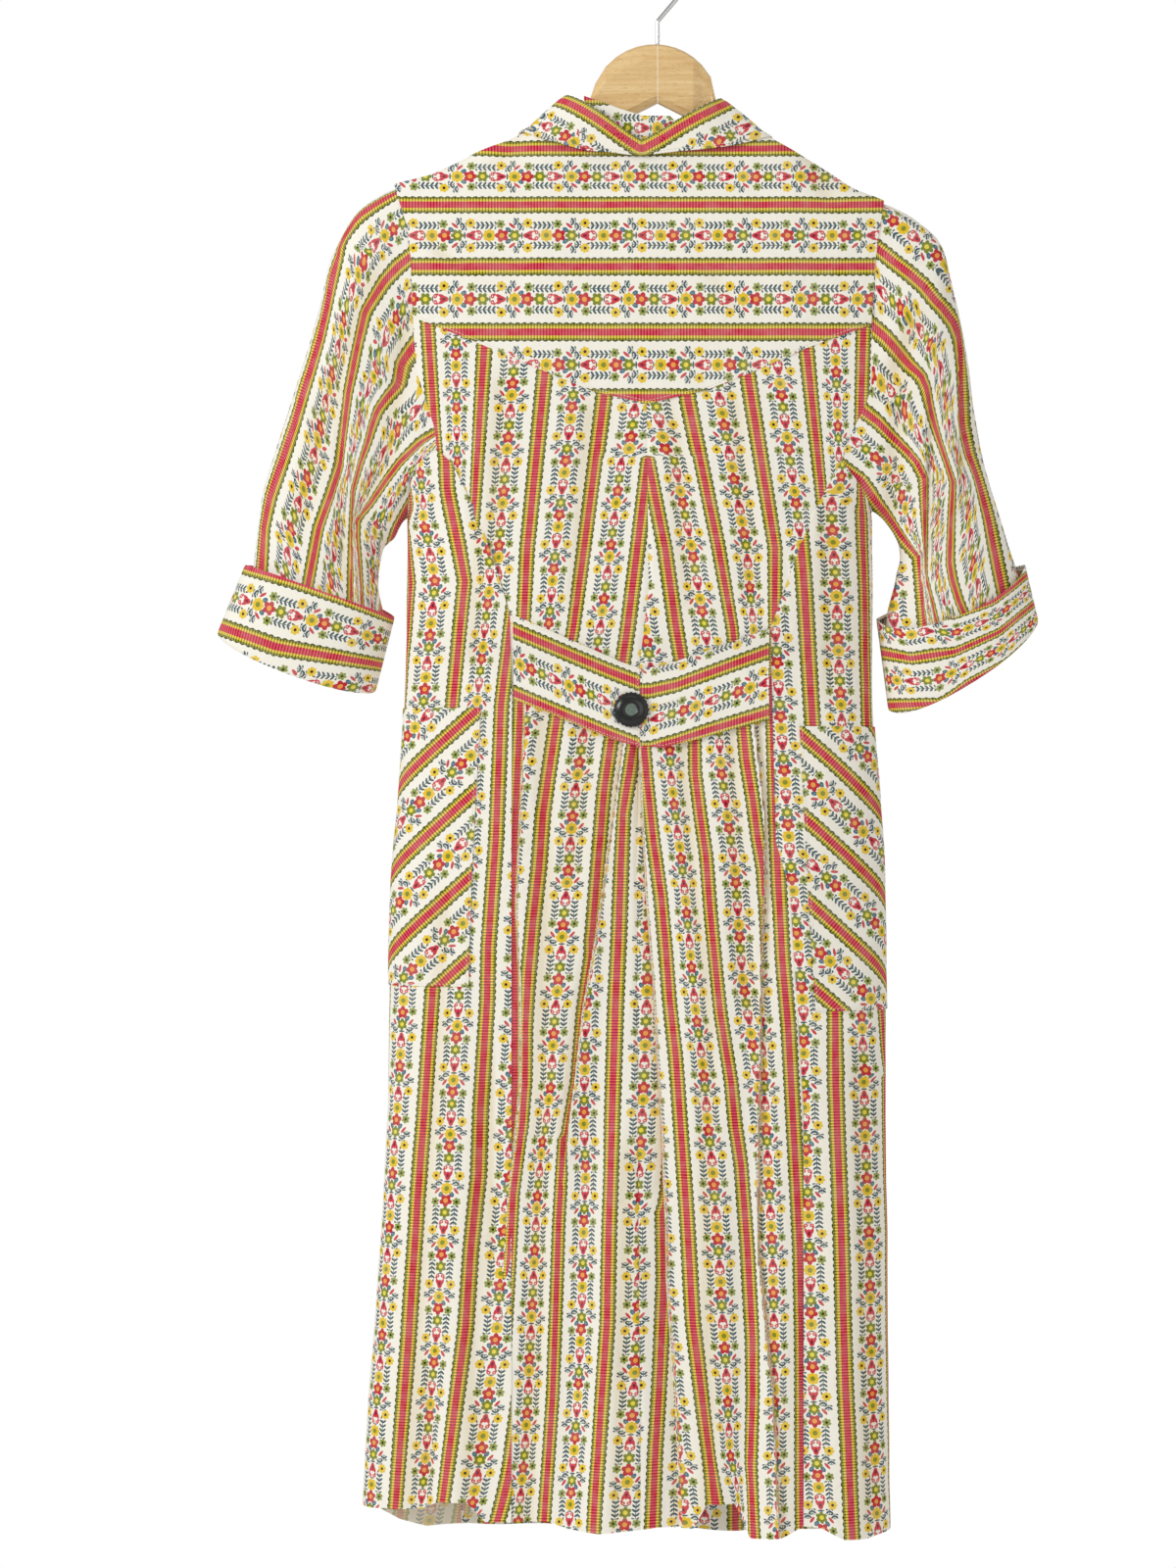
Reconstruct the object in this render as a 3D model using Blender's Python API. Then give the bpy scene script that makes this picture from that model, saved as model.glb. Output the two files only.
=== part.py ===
"""House dress hanging on a two-part wooden hanger, its back towards -Y.

Metres, +Z up. The origin is the inside top of the hanger's hook, where a rail would bear.
Sizes below are millimetres; "drop" is the distance below the origin.
"""
import math

import bmesh
import bpy
import numpy as np

MM = 0.001

# Cloth
WALL = 1.5
SEAM = 0.3
LAP = 8.0
LIFT = WALL + SEAM
TUCK_SINK = -1.9

# Body
MIDDLE = -12.4
ROUND = 2.667
BODY_COLUMNS = ("drop", "left", "right", "depth")
BODY = (
    (114.0, 59.7, 62.0, 12.0),
    (138.0, 104.6, 103.0, 15.5),
    (149.0, 131.0, 124.0, 17.0),
    (156.0, 144.5, 136.5, 18.0),
    (166.0, 166.6, 151.0, 19.5),
    (177.5, 202.3, 168.0, 21.0),
    (189.0, 210.0, 194.5, 22.5),
    (217.0, 215.0, 212.0, 26.0),
    (300.0, 215.0, 213.0, 36.0),
    (350.0, 212.0, 210.0, 41.0),
    (384.0, 205.0, 203.0, 43.0),
    (410.0, 195.0, 190.0, 44.5),
    (435.0, 184.0, 181.0, 46.0),
    (500.0, 184.0, 181.0, 50.0),
    (528.0, 184.0, 181.0, 47.0),
    (560.0, 185.0, 181.0, 39.0),
    (610.0, 187.0, 183.0, 39.0),
    (653.0, 190.0, 186.0, 43.0),
    (725.0, 196.0, 190.0, 47.0),
    (790.0, 198.0, 191.0, 48.5),
    (900.0, 199.5, 191.5, 50.5),
    (1000.0, 205.0, 192.0, 52.0),
    (1112.0, 213.0, 193.5, 53.5),
    (1260.0, 223.0, 195.0, 55.0),
)

# Soft flutes of the skirt: where each starts and ends, how deep and how wide it is at the hem.
# face is -1 on the back and 1 on the front; a positive depth is a trough.
FLUTE_COLUMNS = ("face", "x_top", "drop_top", "x_hem", "depth", "half_width")
FLUTES = (
    (-1, -130.0, 780.0, -128.0, 7.0, 17.0),
    (-1, -179.0, 1020.0, -180.0, 8.0, 14.0),
    (-1, -102.0, 840.0, -99.0, 6.0, 14.0),
    (-1, -30.0, 640.0, -76.0, 7.0, 20.0),
    (-1, -12.0, 660.0, 18.0, 9.0, 20.0),
    (-1, 84.0, 650.0, 66.0, 8.0, 18.0),
    (-1, 108.0, 760.0, 116.0, 6.0, 15.0),
    (-1, 152.0, 900.0, 156.0, -5.0, 20.0),
    (-1, -30.0, 900.0, -40.0, -4.0, 22.0),
    (1, -120.0, 700.0, -132.0, 8.0, 22.0),
    (1, -50.0, 640.0, -62.0, 7.0, 22.0),
    (1, 40.0, 680.0, 44.0, 8.0, 24.0),
    (1, 110.0, 720.0, 122.0, 7.0, 20.0),
)
FLUTE_HEM_DROP = 1235.0

# Edges on the body: x along the drop
ARMHOLE_COLUMNS = ("x", "drop")
ARMHOLE_LEFT = (
    (-207.0, 176.0), (-198.0, 205.0), (-193.5, 235.0), (-191.3, 293.8), (-188.2, 325.3), (-180.5, 349.9),
    (-174.4, 368.3), (-172.1, 386.0), (-184.3, 393.6), (-192.0, 409.0), (-196.4, 436.0),
)
ARMHOLE_RIGHT = (
    (178.5, 187.5), (173.5, 215.0), (170.0, 245.0), (167.4, 286.1), (168.2, 313.8), (167.4, 336.0),
    (163.6, 348.3), (152.9, 371.4), (143.6, 395.0), (155.2, 409.0), (168.6, 431.0),
)
LEFT_CORNER = 7
RIGHT_CORNER = 8
FRONT_ARMHOLE_LEFT = ((-207.0, 176.0), (-193.0, 225.0), (-188.0, 310.0), (-184.0, 370.0), (-186.0, 400.0),
                      (-196.4, 436.0))
FRONT_ARMHOLE_RIGHT = ((178.5, 187.5), (168.0, 235.0), (164.0, 310.0), (159.0, 370.0), (160.0, 398.0),
                       (168.6, 431.0))
PRINCESS_LEFT = ((-172.1, 386.0), (-160.0, 397.0), (-140.2, 437.6), (-123.5, 486.3), (-115.1, 513.8),
                 (-113.6, 571.0), (-113.6, 1260.0))
PRINCESS_RIGHT = ((143.6, 395.0), (123.5, 432.2), (110.5, 463.0), (97.5, 498.5), (88.0, 525.0), (90.0, 601.0),
                  (92.2, 692.0), (103.0, 730.0), (113.6, 898.0), (113.6, 1260.0))
FRONT_PRINCESS_LEFT = ((-184.5, 385.0), (-150.0, 500.0), (-146.0, 580.0), (-150.0, 1260.0))
FRONT_PRINCESS_RIGHT = ((160.0, 385.0), (126.0, 500.0), (122.0, 580.0), (126.0, 1260.0))
BACK_SEAM = ((-8.4, 340.0), (-7.0, 495.0), (-16.0, 571.0), (-16.0, 800.0), (-12.2, 1260.0))
YOKE_SEAM = ((-210.0, 275.0), (-185.9, 283.8), (-130.8, 306.7), (-88.7, 325.1), (-50.5, 341.2), (-8.4, 351.0),
             (37.5, 340.4), (70.4, 327.4), (116.3, 306.7), (166.0, 287.6), (190.0, 280.0))
BACK_HEM = ((-240.0, 1211.0), (-206.7, 1213.4), (-182.0, 1211.9), (-170.0, 1206.0), (-148.0, 1206.0),
            (-134.5, 1221.0), (-84.4, 1221.0), (-70.7, 1225.6), (-46.4, 1227.9), (0.0, 1224.1), (28.0, 1225.6),
            (38.0, 1206.6), (60.0, 1206.6), (72.0, 1234.0), (97.3, 1233.2), (113.3, 1225.0), (127.7, 1226.3),
            (145.2, 1235.5), (162.7, 1236.2), (190.0, 1231.0))
FRONT_HEM = ((-240.0, 1213.0), (-206.0, 1236.0), (-185.6, 1243.0), (-150.9, 1241.1), (34.8, 1246.0),
             (64.8, 1248.5), (150.0, 1243.0), (190.0, 1233.0))

# Neck: the edge of the body under the collar
BACK_NECK = ((-72.1, 114.0), (-60.0, 128.0), (-40.0, 139.0), (-12.4, 145.0), (12.0, 141.0), (32.0, 130.0),
             (49.6, 114.0))
FRONT_NECK = ((-72.1, 114.0), (-58.0, 150.0), (-36.0, 205.0), (-12.4, 262.0), (10.0, 205.0), (34.0, 150.0),
              (49.6, 114.0))

# Sleeves: outer and inner point of each ring
SLEEVE_COLUMNS = ("x_out", "drop_out", "x_in", "drop_in", "half_depth")
SLEEVE_LEFT = (
    (-214.7, 177.4, -196.4, 436.0, 28.0),
    (-228.0, 184.0, -199.5, 437.5, 29.0),
    (-244.9, 199.1, -202.5, 440.5, 31.0),
    (-261.2, 233.2, -205.5, 446.0, 32.0),
    (-268.2, 271.2, -208.5, 452.6, 32.0),
    (-279.8, 317.0, -213.1, 456.5, 31.0),
    (-291.4, 352.6, -217.0, 461.1, 30.0),
    (-303.0, 387.5, -219.3, 470.4, 29.0),
    (-312.3, 418.5, -220.9, 482.8, 28.0),
    (-316.5, 447.0, -221.0, 495.0, 27.0),
)
SLEEVE_RIGHT = (
    (182.9, 189.1, 168.6, 431.0, 28.0),
    (194.0, 194.0, 172.5, 432.5, 29.0),
    (208.5, 203.8, 177.0, 437.0, 31.0),
    (225.5, 221.5, 182.1, 444.8, 32.0),
    (234.1, 254.9, 186.8, 451.0, 32.0),
    (240.2, 286.7, 189.7, 456.5, 31.0),
    (245.7, 320.0, 191.0, 462.9, 30.0),
    (250.6, 358.2, 191.2, 470.9, 29.0),
    (258.3, 398.0, 189.1, 479.4, 28.0),
    (268.9, 431.7, 187.0, 491.0, 27.0),
)
SETTLE = (1.0, 0.82, 0.55, 0.28, 0.1, 0.0)

# Cuffs: the four corners of each and how far its near and far edges hang below them
CUFF_COLUMNS = ("x_out", "drop_out", "x_in", "drop_in", "half_depth", "near_sag", "far_sag")
CUFF_TOP_LEFT = (-322.4, 475.5, -211.6, 514.6, 33.0, 0.0, -7.0)
CUFF_FOLD_LEFT = (-347.2, 528.5, -224.0, 573.5, 32.0, 11.0, 9.0)
CUFF_TOP_RIGHT = (287.5, 474.6, 176.0, 515.5, 33.0, 22.0, -4.0)
CUFF_FOLD_RIGHT = (300.7, 518.5, 183.0, 588.8, 32.0, 17.0, 12.0)
CUFF_STAND_TOP = 3.0
CUFF_STAND_FOLD = 0.6
CUFF_SLEEVE_END = 14.0
CUFF_DEPTH = 66.0
# The sleeve inside its cuff: how far up the cuff each last ring is and how far inside the cuff's own ring
SLEEVE_END_COLUMNS = ("up_mm", "inside")
SLEEVE_END = ((61.0, -6.0), (38.0, -4.0), (CUFF_SLEEVE_END + 1.2, -2.3))

# Collar: from the middle back round to the point of the front neck
COLLAR_COLUMNS = ("x_roll", "drop_roll", "y_roll", "x_edge", "drop_edge", "y_edge")
COLLAR_LEFT = (
    (-12.55, 141.9, -21.0, -12.55, 154.2, -22.0),
    (-26.0, 133.0, -21.0, -25.0, 153.2, -22.5),
    (-40.0, 122.5, -20.0, -38.0, 151.4, -22.5),
    (-56.0, 111.5, -16.5, -57.0, 149.6, -22.0),
    (-68.0, 104.5, -8.0, -83.0, 142.0, -19.0),
    (-73.5, 103.0, 0.0, -104.0, 134.5, -7.0),
    (-73.0, 107.0, 9.0, -110.0, 136.5, 9.5),
    (-69.0, 122.0, 17.5, -104.0, 152.0, 20.5),
    (-58.0, 154.0, 23.0, -92.0, 185.0, 26.0),
    (-38.0, 204.0, 29.0, -66.0, 226.0, 31.0),
    (-13.0, 259.0, 34.0, -26.0, 268.0, 35.0),
)
COLLAR_RIGHT = (
    (-12.25, 141.9, -21.0, -12.25, 154.2, -22.0),
    (2.0, 134.0, -21.0, 4.0, 152.2, -22.5),
    (17.0, 124.5, -20.0, 20.0, 150.4, -22.5),
    (34.0, 114.5, -16.5, 38.0, 148.6, -22.0),
    (46.0, 107.5, -8.0, 60.0, 145.0, -19.0),
    (50.5, 105.0, 0.0, 86.0, 137.5, -7.0),
    (50.0, 108.0, 9.0, 90.0, 139.0, 9.5),
    (46.0, 123.0, 17.5, 83.0, 153.0, 20.5),
    (34.0, 154.0, 23.0, 68.0, 185.0, 26.0),
    (13.0, 204.0, 29.0, 42.0, 226.0, 31.0),
    (-11.8, 259.0, 34.0, 2.0, 268.0, 35.0),
)
BAND_COLUMNS = ("x", "drop_top", "drop_foot")
BAND = ((-58.0, 105.0, 131.0), (-45.5, 109.7, 140.0), (-30.0, 115.5, 147.0), (-12.3, 121.3, 151.0),
        (9.5, 121.3, 148.0), (17.0, 128.0, 144.0))

# Half-belt, button and pockets
BELT_COLUMNS = ("x", "drop_top", "drop_foot")
BELT_LEFT = ((-112.2, 515.4, 580.9), (-86.0, 526.5, 591.0), (-57.0, 539.0, 603.5), (-33.0, 549.5, 613.0),
             (-14.0, 557.5, 618.5))
BELT_RIGHT = ((-7.0, 557.5, 617.0), (4.0, 554.5, 619.0), (30.0, 546.0, 612.5), (58.0, 536.0, 604.5),
              (86.6, 526.0, 597.2))
BELT_LIFT = WALL + 1.3
BUTTON_X = -20.6
BUTTON_DROP = 589.3
BUTTON_RADIUS = 14.0
BUTTON_THICK = 5.0
BUTTON_SCALLOPS = 12
SCALLOP_DEPTH = 0.9
POCKET_COLUMNS = ("drop", "x_inner")
POCKET_LEFT = ((587.5, -137.9), (711.0, -144.0), (805.0, -147.0), (1240.0, -147.0))
POCKET_RIGHT = ((602.0, 110.5), (737.0, 117.0), (804.0, 121.5), (824.0, 123.0), (1240.0, 132.0))
POCKET_TOP_LEFT = 587.5
POCKET_TOP_RIGHT = 602.0
POCKET_FOOT_LEFT = 805.0
POCKET_FOOT_RIGHT = 824.0
POCKET_LIFT = WALL + 0.5
LEVELS_BELOW = (617.0, 645.0, 690.0, 745.0)
LEVELS_ABOVE = (450.0, 474.0, 498.0, 512.0, 526.0, 540.0, 556.0, 572.0)
LEVELS_SKIRT = (860.0, 920.0, 980.0, 1040.0, 1100.0, 1160.0)

# Hanger
WOOD_HALF = 7.5
DOME_X = -2.3
DOME_DROP = 113.1
DOME_RADIUS = 51.0
UNDER_DROP = 108.5
UNDER_SLOPE = 0.5
TIP_LEFT = -196.0
TIP_RIGHT = 168.0
WOOD_CLEAR = 1.6
WOOD_REST = 0.6
WIRE_RADIUS = 1.75
HOOK_RADIUS = 18.0
HOOK_SHANK_DROP = 61.75


def interp(table, value):
    """Read a (key, result) table at value; the key is the second entry where it is a drop."""
    rows = sorted(table, key=lambda row: row[0])
    keys = [row[0] for row in rows]
    results = [row[1] for row in rows]
    return np.interp(value, keys, results)


def along_drop(table, drop):
    """x of an edge at a drop."""
    rows = sorted(table, key=lambda row: row[1])
    return np.interp(drop, [row[1] for row in rows], [row[0] for row in rows])


def smooth_column(table, column):
    """Dense samples of one column against the first, through a monotone cubic curve."""
    keys = np.array([row[0] for row in table], dtype=float)
    values = np.array([row[column] for row in table], dtype=float)
    steps = np.diff(keys)
    slopes = np.diff(values) / steps
    tangents = np.zeros(len(keys))
    tangents[0] = slopes[0]
    tangents[-1] = slopes[-1]
    for row in range(1, len(keys) - 1):
        if slopes[row - 1] * slopes[row] > 0.0:
            tangents[row] = 2.0 * slopes[row - 1] * slopes[row] / (slopes[row - 1] + slopes[row])
    dense = np.arange(keys[0], keys[-1] + 1.0, 1.0)
    cell = np.clip(np.searchsorted(keys, dense, side="right") - 1, 0, len(steps) - 1)
    part = (dense - keys[cell]) / steps[cell]
    rise = part * part * (3.0 - 2.0 * part)
    leave = part * (1.0 - part) ** 2
    arrive = part * part * (part - 1.0)
    curve = values[cell] * (1.0 - rise) + values[cell + 1] * rise
    curve = curve + steps[cell] * (leave * tangents[cell] + arrive * tangents[cell + 1])
    return dense, curve


DROPS, HALF_LEFT = smooth_column(BODY, 1)
HALF_RIGHT = smooth_column(BODY, 2)[1]
HALF_DEPTH = smooth_column(BODY, 3)[1]


def half_width(x, drop):
    left = np.interp(drop, DROPS, HALF_LEFT)
    right = np.interp(drop, DROPS, HALF_RIGHT)
    return np.where(np.asarray(x) < MIDDLE, left, right)


def half_depth(drop):
    return np.interp(drop, DROPS, HALF_DEPTH)


def flutes(x, drop, face):
    """How far the cloth lies in from the plain body at a point of its back or front."""
    total = np.zeros(np.broadcast(x, drop).shape)
    for row_face, x_top, drop_top, x_hem, depth, width in FLUTES:
        if row_face != face:
            continue
        part = np.clip((drop - drop_top) / (FLUTE_HEM_DROP - drop_top), 0.0, 1.1)
        middle = x_top + (x_hem - x_top) * part
        total = total + depth * np.sqrt(part) * np.exp(-((x - middle) / width) ** 2)
    edge = np.clip(np.abs(x - MIDDLE) / half_width(x, drop), 0.0, 1.0)
    return total * (1.0 - edge ** 6)


def body_y(x, drop, face):
    across = np.clip(np.abs(x - MIDDLE) / half_width(x, drop), 0.0, 1.0)
    plain = half_depth(drop) * np.maximum(1.0 - across ** ROUND, 0.0) ** (1.0 / ROUND)
    return face * (plain - flutes(x, drop, face) * np.minimum(plain / 12.0, 1.0))


def body_normal(x, y, drop, face):
    """Outward direction of the body's skin, with z up."""
    plain_y = face * np.maximum(face * y + flutes(x, drop, face) * np.minimum(face * y / 12.0, 1.0), 0.0)
    step = 0.5

    def value(px, py, pd):
        across = np.abs(px - MIDDLE) / half_width(px, pd)
        return across ** ROUND + (np.abs(py) / half_depth(pd)) ** ROUND

    nx = value(x + step, plain_y, drop) - value(x - step, plain_y, drop)
    ny = value(x, plain_y + step, drop) - value(x, plain_y - step, drop)
    nd = value(x, plain_y, drop + step) - value(x, plain_y, drop - step)
    fold_x = (flutes(x + step, drop, face) - flutes(x - step, drop, face)) / (2.0 * step)
    nx = nx + ny * face * fold_x
    length = np.sqrt(nx * nx + ny * ny + nd * nd) + 1e-9
    return np.stack([nx / length, ny / length, -nd / length], axis=-1)


def on_body(x, drop, face, out=0.0, ridge=0.4):
    """Outer and inner point of a wall on the body, lifted by out."""
    y = body_y(x, drop, face)
    normal = body_normal(x, y, drop, face)
    skin = np.stack([x, y, -np.asarray(drop, dtype=float)], axis=-1)
    outer = skin + normal * out
    inner = skin + normal * (out - WALL)
    if ridge:
        outer[..., 1] = face * np.maximum(face * outer[..., 1], ridge)
        inner[..., 1] = face * np.maximum(face * inner[..., 1], ridge)
    return outer, inner


def round_body(angle, drop, side):
    """x and face of a point at an angle from the middle back (0) round a side to the middle front (pi)."""
    width = half_width(np.full(np.shape(drop), MIDDLE + side), drop)
    x = MIDDLE + side * width * np.abs(np.sin(angle)) ** (2.0 / ROUND)
    return x


def angle_of(x, drop, side, face):
    width = half_width(np.full(np.shape(drop), MIDDLE + side), drop)
    part = np.clip(np.abs(x - MIDDLE) / width, 0.0, 1.0)
    angle = np.arcsin(part ** (ROUND / 2.0))
    return np.where(np.asarray(face) < 0, angle, math.pi - angle)


def material(name, color, roughness, metallic=0.0):
    slot = bpy.data.materials.get(name)
    if slot is None:
        slot = bpy.data.materials.new(name)
        slot.use_nodes = True
        shader = slot.node_tree.nodes["Principled BSDF"]
        shader.inputs["Base Color"].default_value = (*color, 1.0)
        shader.inputs["Roughness"].default_value = roughness
        shader.inputs["Metallic"].default_value = metallic
    return slot


def add_object(name, points, faces, slot):
    mesh = bpy.data.meshes.new(name)
    mesh.from_pydata([tuple(point) for point in (np.asarray(points) * MM).tolist()], [], faces)
    tidy = bmesh.new()
    tidy.from_mesh(mesh)
    bmesh.ops.triangulate(tidy, faces=[face for face in tidy.faces if len(face.verts) == 4])
    bmesh.ops.recalc_face_normals(tidy, faces=tidy.faces)
    tidy.to_mesh(mesh)
    tidy.free()
    mesh.update()
    mesh.shade_smooth()
    mesh.set_sharp_from_angle(angle=math.radians(50.0))
    mesh.materials.append(slot)
    item = bpy.data.objects.new(name, mesh)
    bpy.context.scene.collection.objects.link(item)
    return item


def wall(name, outer, inner, slot, ring=False):
    """A closed wall between an outer and an inner grid of points.

    Rows run down; columns run so that the outer face looks outwards. A ring joins its last column to its first.
    """
    rows, columns = outer.shape[0], outer.shape[1]
    points = np.concatenate([outer.reshape(-1, 3), inner.reshape(-1, 3)])
    half = rows * columns
    faces = []
    last = columns if ring else columns - 1
    for row in range(rows - 1):
        for column in range(last):
            after = (column + 1) % columns
            a = row * columns + column
            b = row * columns + after
            c = (row + 1) * columns + after
            d = (row + 1) * columns + column
            faces.append((a, d, c))
            faces.append((a, c, b))
            faces.append((half + a, half + c, half + d))
            faces.append((half + a, half + b, half + c))
    for column in range(last):
        after = (column + 1) % columns
        faces.append((column, after, half + after, half + column))
        a = (rows - 1) * columns + column
        b = (rows - 1) * columns + after
        faces.append((b, a, half + a, half + b))
    if not ring:
        for row in range(rows - 1):
            a = row * columns
            b = (row + 1) * columns
            faces.append((b, a, half + a, half + b))
            c = a + columns - 1
            d = b + columns - 1
            faces.append((c, d, half + d, half + c))
    return add_object(name, points, faces, slot)


def turned(outer, inner, flip):
    """Reverse the columns where the grid runs the other way round."""
    if flip:
        return outer[:, ::-1], inner[:, ::-1]
    return outer, inner


def spread(count, crowd=1.0):
    return np.linspace(0.0, 1.0, count) ** crowd


def top_of_yoke(x):
    """Drop of the yoke's or front's upper edge: the shoulder ridge outside the neck."""
    left = np.interp(MIDDLE - x, HALF_LEFT[:90], DROPS[:90])
    right = np.interp(x - MIDDLE, HALF_RIGHT[:90], DROPS[:90])
    return np.where(x < MIDDLE, left, right)


def upper_edge(x, neck):
    inside = (x > neck[0][0]) & (x < neck[-1][0])
    return np.where(inside, interp(neck, x), top_of_yoke(x))


def levels_of(side):
    """Drops of the rows that every long panel of one side shares, without its top rows and its hem."""
    top = POCKET_TOP_LEFT if side < 0 else POCKET_TOP_RIGHT
    foot = POCKET_FOOT_LEFT if side < 0 else POCKET_FOOT_RIGHT
    return LEVELS_ABOVE + (top,) + LEVELS_BELOW + (foot,) + LEVELS_SKIRT


def lap_columns(middle, edge, count, side):
    """x of the columns from the middle seam to an edge, the last strip as wide as the lap."""
    line = edge - side * LAP
    inside = middle + (line - middle) * np.linspace(0.0, 1.0, count - 1)
    return np.append(inside, edge)


def back_yoke(slot):
    half, rows = 13, 11
    down = spread(rows, 1.9)
    middle = -8.4
    x = np.zeros((rows, 2 * half - 1))
    drop = np.zeros((rows, 2 * half - 1))
    for side, armhole in ((-1, ARMHOLE_LEFT[:8]), (1, ARMHOLE_RIGHT[:8])):
        for index in range(half):
            column = half - 1 + side * index
            for row, fall in enumerate(down):
                px = middle + side * 185.0 * index / (half - 1)
                for _ in range(30):
                    start = float(upper_edge(np.array(px), BACK_NECK)) + 0.2
                    end = float(interp(YOKE_SEAM, px)) - SEAM / 2
                    level = start + (end - start) * fall
                    edge = along_drop(armhole, level) - side * SEAM
                    target = lap_columns(middle, edge, half, side)[index]
                    px = px + 0.5 * (target - px)
                x[row, column] = px
                drop[row, column] = level
    outer, inner = on_body(x, drop, -1)
    return wall("back_yoke", outer, inner, slot)


def back_panel(name, side, slot):
    count, top_rows = 13, 4
    armhole = ARMHOLE_LEFT[:LEFT_CORNER + 1] if side < 0 else ARMHOLE_RIGHT[:RIGHT_CORNER + 1]
    princess = PRINCESS_LEFT if side < 0 else PRINCESS_RIGHT
    corner = princess[0][1]
    levels = (corner, corner + 22.0) + levels_of(side)
    rows = top_rows + len(levels) + 1
    x = np.zeros((rows, count))
    drop = np.zeros((rows, count))
    for index in range(count):
        for row in range(rows):
            px = MIDDLE + side * 150.0 * index / (count - 1)
            for _ in range(30):
                start = float(interp(YOKE_SEAM, px)) + SEAM / 2
                if row < top_rows:
                    level = start + (corner - start) * row / top_rows
                elif row < rows - 1:
                    level = levels[row - top_rows]
                else:
                    level = float(interp(BACK_HEM, px))
                seam_x = float(along_drop(BACK_SEAM, level)) + side * SEAM / 2
                if level <= corner:
                    edge = along_drop(armhole, level) - side * SEAM
                else:
                    tuck = min((level - corner) / 22.0, 1.0) * (LAP + SEAM) - SEAM
                    edge = along_drop(princess, level) + side * tuck
                target = lap_columns(seam_x, edge, count, side)[index]
                px = px + 0.5 * (target - px)
            x[row, index] = px
            drop[row, index] = level
    outer, inner = on_body(x, drop, -1, tucked(drop, count, corner))
    outer, inner = turned(outer, inner, side < 0)
    return wall(name, outer, inner, slot)


def tucked(drop, count, corner):
    """Lift of a long panel: its edge lies a little deeper where the lap begins."""
    lift = np.zeros(drop.shape)
    near = (drop > corner - 1.0) & (drop < 480.0)
    near[:, :count - 3] = False
    lift[near] = TUCK_SINK
    return lift[..., None]


def front_panel(name, side, slot):
    """Front from the shoulder and the V neck to the hem, its rows following the neck edge and the armhole."""
    count = 9
    armhole = FRONT_ARMHOLE_LEFT[:5] if side < 0 else FRONT_ARMHOLE_RIGHT[:5]
    princess = FRONT_PRINCESS_LEFT if side < 0 else FRONT_PRINCESS_RIGHT
    corner = princess[0][1]
    neck = FRONT_NECK[:4] if side < 0 else FRONT_NECK[3:]
    neck_x, neck_drop = neck[0] if side < 0 else neck[-1]
    shoulder = armhole[0]
    # top rows: how far each runs down the neck edge and down the armhole
    starts = ((0.0, 0.0), (3.0, 2.5), (12.0, 10.0), (50.0, 50.0), (100.0, 100.0), (148.0, 160.0))
    rounds = (0.0, 0.0, 0.3, 1.0, 1.0, 1.0)
    levels = (corner, corner + 22.0) + levels_of(side)
    top_rows = len(starts)
    rows = top_rows + len(levels) + 1
    x = np.zeros((rows, count))
    drop = np.zeros((rows, count))
    for row in range(rows):
        for index in range(count):
            px = MIDDLE + side * 150.0 * index / (count - 1)
            for _ in range(30):
                part = min(max((px - neck_x) / (shoulder[0] - neck_x), 0.0), 1.0)
                if row < top_rows:
                    low, high = starts[row]
                    ridge = max(float(top_of_yoke(np.array(px))), neck_drop) + 0.2
                    run = ridge + low + (high - low) * part
                    middle_level = neck_drop + low
                    edge_level = shoulder[1] + high
                    straight = middle_level + (edge_level - middle_level) * part
                    level = run + (straight - run) * rounds[row] if side * (px - neck_x) > 0 else middle_level
                elif row < rows - 1:
                    level = levels[row - top_rows]
                    middle_level = edge_level = level
                else:
                    level = float(interp(FRONT_HEM, px))
                    middle_level = edge_level = level
                middle = MIDDLE
                if middle_level < 262.0:
                    middle = float(along_drop(neck, middle_level))
                middle = MIDDLE + side * max(abs(middle - MIDDLE), SEAM / 2)
                if edge_level <= corner:
                    edge = along_drop(armhole, edge_level) - side * 1.0
                else:
                    tuck = min((edge_level - corner) / 22.0, 1.0) * (LAP + 1.0) - 1.0
                    edge = along_drop(princess, edge_level) + side * tuck
                target = lap_columns(middle, edge, count, side)[index]
                px = px + 0.5 * (target - px)
            x[row, index] = px
            drop[row, index] = level
    outer, inner = on_body(x, drop, 1, tucked(drop, count, corner))
    outer, inner = turned(outer, inner, side > 0)
    return wall(name, outer, inner, slot)


SIDE_COUNT = 15
POCKET_FIRST = 2
POCKET_LAST = 10
SIDE_TURN = 7


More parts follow.
